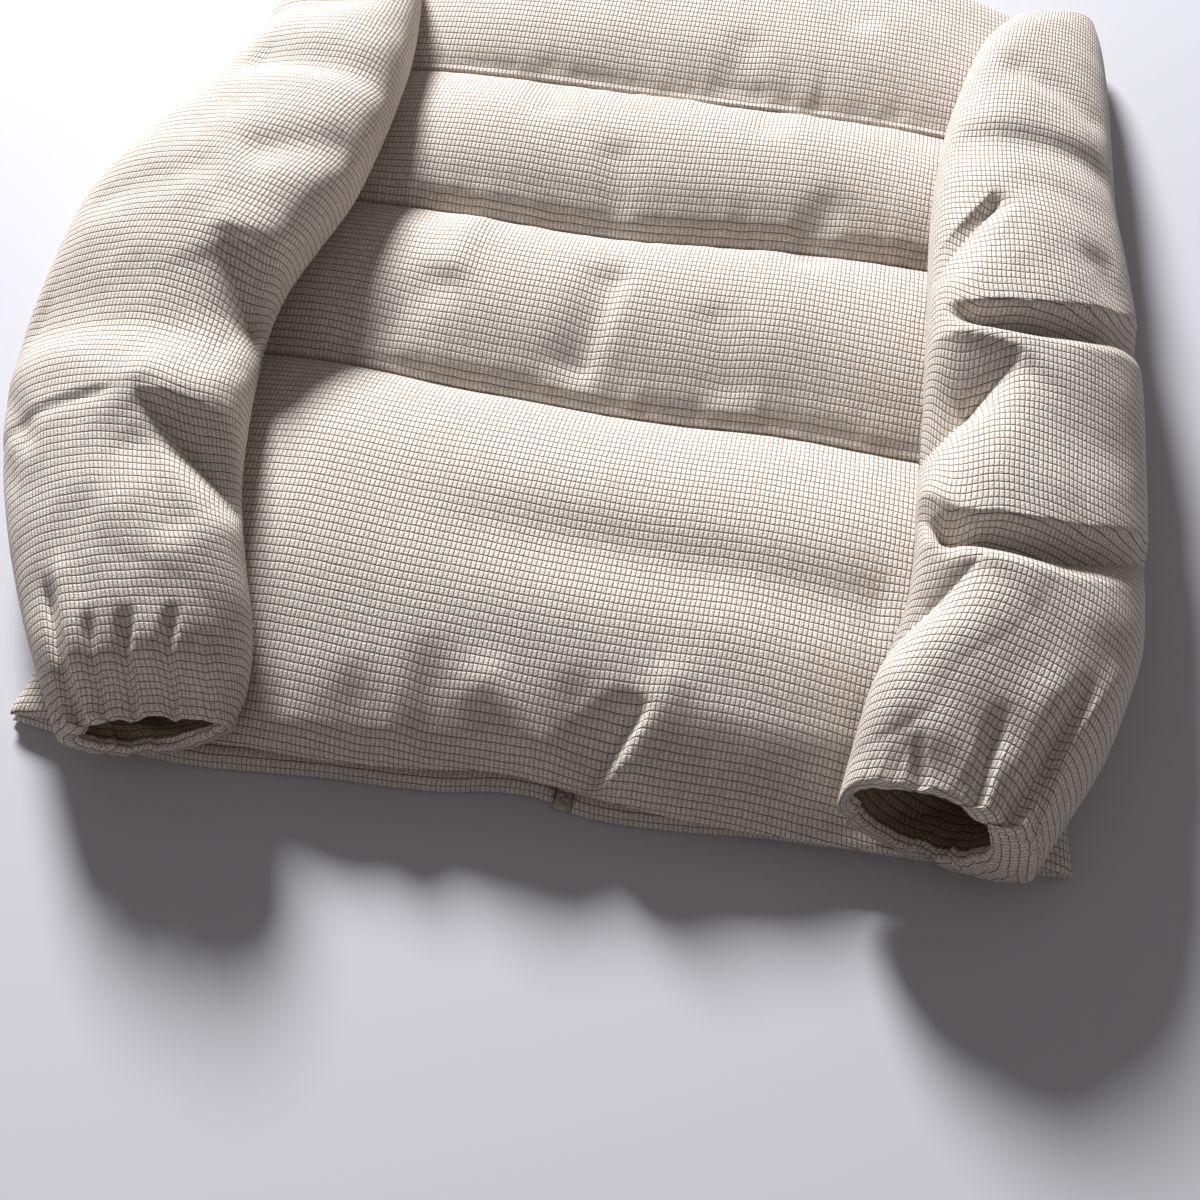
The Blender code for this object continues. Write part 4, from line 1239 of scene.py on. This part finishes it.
        # The lip turns from the lining to the outer face round a soft roll
        turn = (0.5 - 0.5 * np.cos(lip * math.pi))[..., None]
        points = inner + (outer - inner) * turn
        ends = [self.ring(theta[:1], np.full_like(theta[:1], at))[0].mean(axis=1) for at in (0.0, 1.0)]
        outward = (ends[0] - ends[1]) / np.linalg.norm(ends[0] - ends[1])
        points = points + (np.sin(lip * math.pi) * self.rolls)[..., None] * outward[:, None, :]
        spread = points - 0.5 * (outer + inner).mean(axis=1, keepdims=True)
        reach = np.maximum(np.linalg.norm(spread, axis=-1, keepdims=True), 1e-6)
        points = points + spread / reach * (self.gather_depth * self.gathers(theta, t))[..., None]
        floor = LaidBody.support(points[..., 0], points[..., 1]) + CLEAR
        points[..., 2] = np.maximum(points[..., 2], floor)
        # Both ends come to a point
        centre, end = points[0].mean(axis=0), points[-1].mean(axis=0)
        deep = share(inside, 0.0, 0.38)[..., None]
        points = np.where(is_lining[..., None], centre + (points - centre) * deep, points)
        points = points + (end - points) * share(along, 0.965, 1.0)[..., None]
        points[0], points[-1] = centre, end
        points[:, -1] = points[:, 0]
        lip_row = int(self.lining_share * self.cells[1])
        weave = self.weave(points, inner + (plain - inner) * turn, lip_row, np.sin(theta[0]))
        mesh = grid_mesh(self.name, self.cells, points, weave=weave, around=True, inside=lip_row - 1)
        return self.hand_over(mesh)


@dataclass
class Collar(Piece):
    """A padded stand collar pressed flat, from one side of the zip round to the other."""

    cells: tuple[int, int] = (260, 26)

    def surface(self, half: Array, thick: tuple[float, float], u: Array, v: Array) -> Array:
        """Points of one face of the collar.

        Args:
            half: half its width.
            thick: its height above and below its middle.
            u, v: shares round it and up it.

        Returns:
            The points.
        """
        angle = (2 * u - 1) * math.pi
        sine, cosine = np.sin(angle), np.cos(angle)
        x = half * np.sign(sine) * np.abs(sine) ** 0.62
        z = 0.0160 + np.where(cosine >= 0, thick[0], -thick[1]) * np.abs(cosine) ** 0.62
        opening = ZIP_HALF + GAP
        x = np.where((cosine < 0) & (np.abs(x) < opening), np.where(u < 0.5, -opening, opening), x)
        back, front = smooth(x, CROSS_LINES, 4), smooth(x, CROSS_LINES, 5)
        behind = cosine >= -0.15
        low = np.where(behind, back + 2 * GAP, front + NECK_GAP)
        top = np.where(cosine >= 0, COLLAR_TOP - 0.004 * (x / 0.1) ** 2,
                       COLLAR_TOP - 0.004 - 0.040 * (1 - (x / 0.1) ** 2))
        low = np.where(np.abs(x) > np.where(behind, 0.078, 0.090), np.maximum(low, 0.6760), low)
        return np.stack([x, low + (top - low) * v, z], axis=-1)

    def build(self) -> bpy.types.Object:
        """Builds the collar and hands it over."""
        u, v = shares(self.cells)
        rows = 0.5 - 0.5 * np.cos(v * math.pi)
        outer = self.surface(0.1000 - 0.002 * rows, (0.0220, 0.0152), u, rows)
        inner = self.surface(0.0870 - 0.002 * rows, (0.0075, 0.0035), u, rows)
        middle = (outer + inner) / 2
        edges = np.sqrt(np.clip(1 - (2 * rows - 1) ** 6, 0, 1))
        keep = np.maximum(edges * rounded(np.minimum(u, 1 - u), 0.012), 0.05)[..., None]
        faces = (middle + (face - middle) * keep for face in (outer, inner))
        return self.hand_over(grid_mesh(self.name, self.cells, *faces))


@dataclass
class FrontZip(Piece):
    """The closed zip between the fronts: its tape, its teeth and the stop at its lower end."""

    fill: float | None = None
    cells: tuple[int, int] = (4, 120)
    low: float = 0.0016
    high: float = 0.0032
    tooth_pitch: float = 0.0050
    tooth_height: float = 0.0038
    tooth_off: tuple[float, float] = (0.0012, 0.00125)
    tooth: tuple[float, float, float] = (0.0034, 0.0018, 0.0022)
    stop: tuple[float, float, float] = (0.0050, 0.0034, 0.0028)

    def build(self) -> bpy.types.Object:
        """Builds the tape and hands it over."""
        u, v = shares(self.cells)
        y = ZIP_END + (ZIP_TOP - ZIP_END) * v
        x = smooth(y, FRONT_OPENING) + (ZIP_HALF - 0.0002) * (2 * u - 1)
        faces = (np.stack([x, y, np.full_like(x, height)], axis=-1) for height in (self.high, self.low))
        return self.hand_over(grid_mesh(self.name, self.cells, *faces))

    def build_teeth(self, look: bpy.types.Material) -> bpy.types.Object:
        """Builds the rows of teeth and the stop as one piece of their own.

        Args:
            look: what the teeth are made of.

        Returns:
            The teeth's object.
        """
        off_x, off_y = self.tooth_off
        count = int((ZIP_TOP - 0.005 - ZIP_END) / self.tooth_pitch)
        blocks = []
        for y in ZIP_END + 0.004 + self.tooth_pitch * np.arange(count):
            blocks += [(side * off_x, y, side * off_y, self.tooth_height, self.tooth) for side in (-1, 1)]
        blocks.append((0.0, ZIP_END, 0.001, 0.0034, self.stop))
        bm = bmesh.new()
        for x_off, y, y_off, z, size in blocks:
            at = Matrix.Translation((smooth(y, FRONT_OPENING) + x_off, y + y_off, z))
            bmesh.ops.create_cube(bm, size=1.0, matrix=at @ Matrix.Diagonal((*size, 1.0)))
        bmesh.ops.bevel(bm, geom=bm.edges[:], offset=0.0004, segments=1, affect="EDGES", profile=0.5,
                        material=-1)
        name = f"{self.name}_teeth"
        return Piece(name, (), self.slot, look, None).hand_over(to_mesh(bm, name))


@dataclass
class Studio:
    """The pale floor, the soft light and the camera at the photograph's angle."""

    azimuth: float = 10.7
    elevation: float = 60.0
    lens: float = 50.0
    distance: float = 0.9627124
    look: tuple[float, float, float] = (0.0363468, -0.2298798, 0.0)
    light_side: float = 0.259
    light_elevation: float = 27.5
    light_distance: float = 4.2
    light_size: float = 1.02
    light_power: float = 365.0
    surround: float = 0.18
    floor_size: float = 6.0

    def axes(self) -> tuple[Vector, Vector, Vector]:
        """The camera's right, up and back directions."""
        az, el = math.radians(self.azimuth), math.radians(self.elevation)
        back = Vector((math.sin(az) * math.cos(el), -math.cos(az) * math.cos(el), math.sin(el)))
        right = Vector((math.cos(az), math.sin(az), 0.0))
        return right, back.cross(right), back

    def set_camera(self) -> None:
        """Makes the camera, with no depth of field."""
        right, up, back = self.axes()
        data = bpy.data.cameras.new("camera")
        data.lens, data.sensor_width = self.lens, 36.0
        camera = place_object("camera", data)
        matrix = Matrix((right, up, back)).transposed().to_4x4()
        matrix.translation = Vector(self.look) + back * self.distance
        camera.matrix_world = matrix
        bpy.context.scene.camera = camera

    def set_light(self) -> None:
        """Makes one soft lamp at the back left and an even pale surround."""
        az, el = math.radians(self.azimuth), math.radians(self.light_elevation)
        right, ahead = Vector((math.cos(az), math.sin(az), 0)), Vector((-math.sin(az), math.cos(az), 0))
        shadow = (right * self.light_side - ahead * math.sqrt(1 - self.light_side**2)).normalized()
        to_light = -shadow * math.cos(el) + Vector((0, 0, 1)) * math.sin(el)
        data = bpy.data.lights.new("soft_lamp", "AREA")
        data.shape, data.size, data.energy = "DISK", self.light_size, self.light_power
        data.color = (1.0, 0.990, 0.985)
        lamp = place_object("soft_lamp", data)
        lamp.location = Vector((0.0, -0.15, 0.03)) + to_light * self.light_distance
        lamp.rotation_euler = to_light.to_track_quat("Z", "Y").to_euler()
        world = bpy.data.worlds.new("surround")
        world.use_nodes = True
        back = world.node_tree.nodes["Background"]
        back.inputs[0].default_value = linear("#F6F1EC")
        back.inputs[1].default_value = self.surround
        bpy.context.scene.world = world
        bpy.context.scene.view_settings.view_transform = "Standard"

    def set_floor(self) -> None:
        """Lays the plain floor, just under the jacket."""
        bm = bmesh.new()
        matrix = Matrix.Translation((0, 0, -CLEAR))
        bmesh.ops.create_grid(bm, x_segments=1, y_segments=1, size=self.floor_size, matrix=matrix)
        floor = place_object("studio_floor", to_mesh(bm, "studio_floor"))
        # Matt pale paint, a touch blue, with no gloss to show
        paint, _, shader = Finish("matt_white_paint", 0.75).start()
        shader.inputs["Base Color"].default_value = linear("#CFD0D8")
        floor.data.materials.append(paint)


def main() -> None:
    """Builds the jacket's pieces in order, then the studio round them."""
    logging.basicConfig(level=logging.INFO, format="%(message)s")
    back, front, sleeve_cloth, collar_cloth = (
        WaffleCord(f"waffle_corduroy{part}").make() for part in ("", "_front", "_sleeve", "_collar"))
    tape, resin, thread = WovenTape().make(), MouldedResin().make(), SewingThread().make()
    # The cuffs' turned-in cloth is painted darker and browner than the rest: painted shade for the dark
    # inside of each cuff
    lining = WaffleCord("waffle_corduroy_cuff_shade", cord="#8C7A68", groove_shade_colour="#3E2D20").make()
    for number, (name, rows) in enumerate(zip(CHANNELS, (110, 60, 56, 70))):
        panel = BackPanel(name, (name,), "waffle_cloth_back", back, 0.7, None, number, (240, rows))
        panel.build()
        if number < 3:
            panel.build_stitches(thread)
    for name, side in (("front_left", -1.0), ("front_right", 1.0)):
        FrontPanel(name, (name,), "waffle_cloth_front", front, 0.3, None, side).build()
    for side in ("left", "right"):
        nodes = (f"sleeve_{side}_lower", f"sleeve_{side}_upper")
        Sleeve(f"sleeve_{side}", nodes, "waffle_cloth_sleeve", sleeve_cloth, 0.6, lining, side).build()
    Collar("collar", ("collar",), "waffle_cloth_collar", collar_cloth, 0.6).build()
    zip_strip = FrontZip("front_zip", ("front_zip",), "zip_tape", tape)
    zip_strip.build()
    zip_strip.build_teeth(resin)
    studio = Studio()
    studio.set_floor()
    studio.set_light()
    studio.set_camera()


if __name__ == "__main__":
    main()
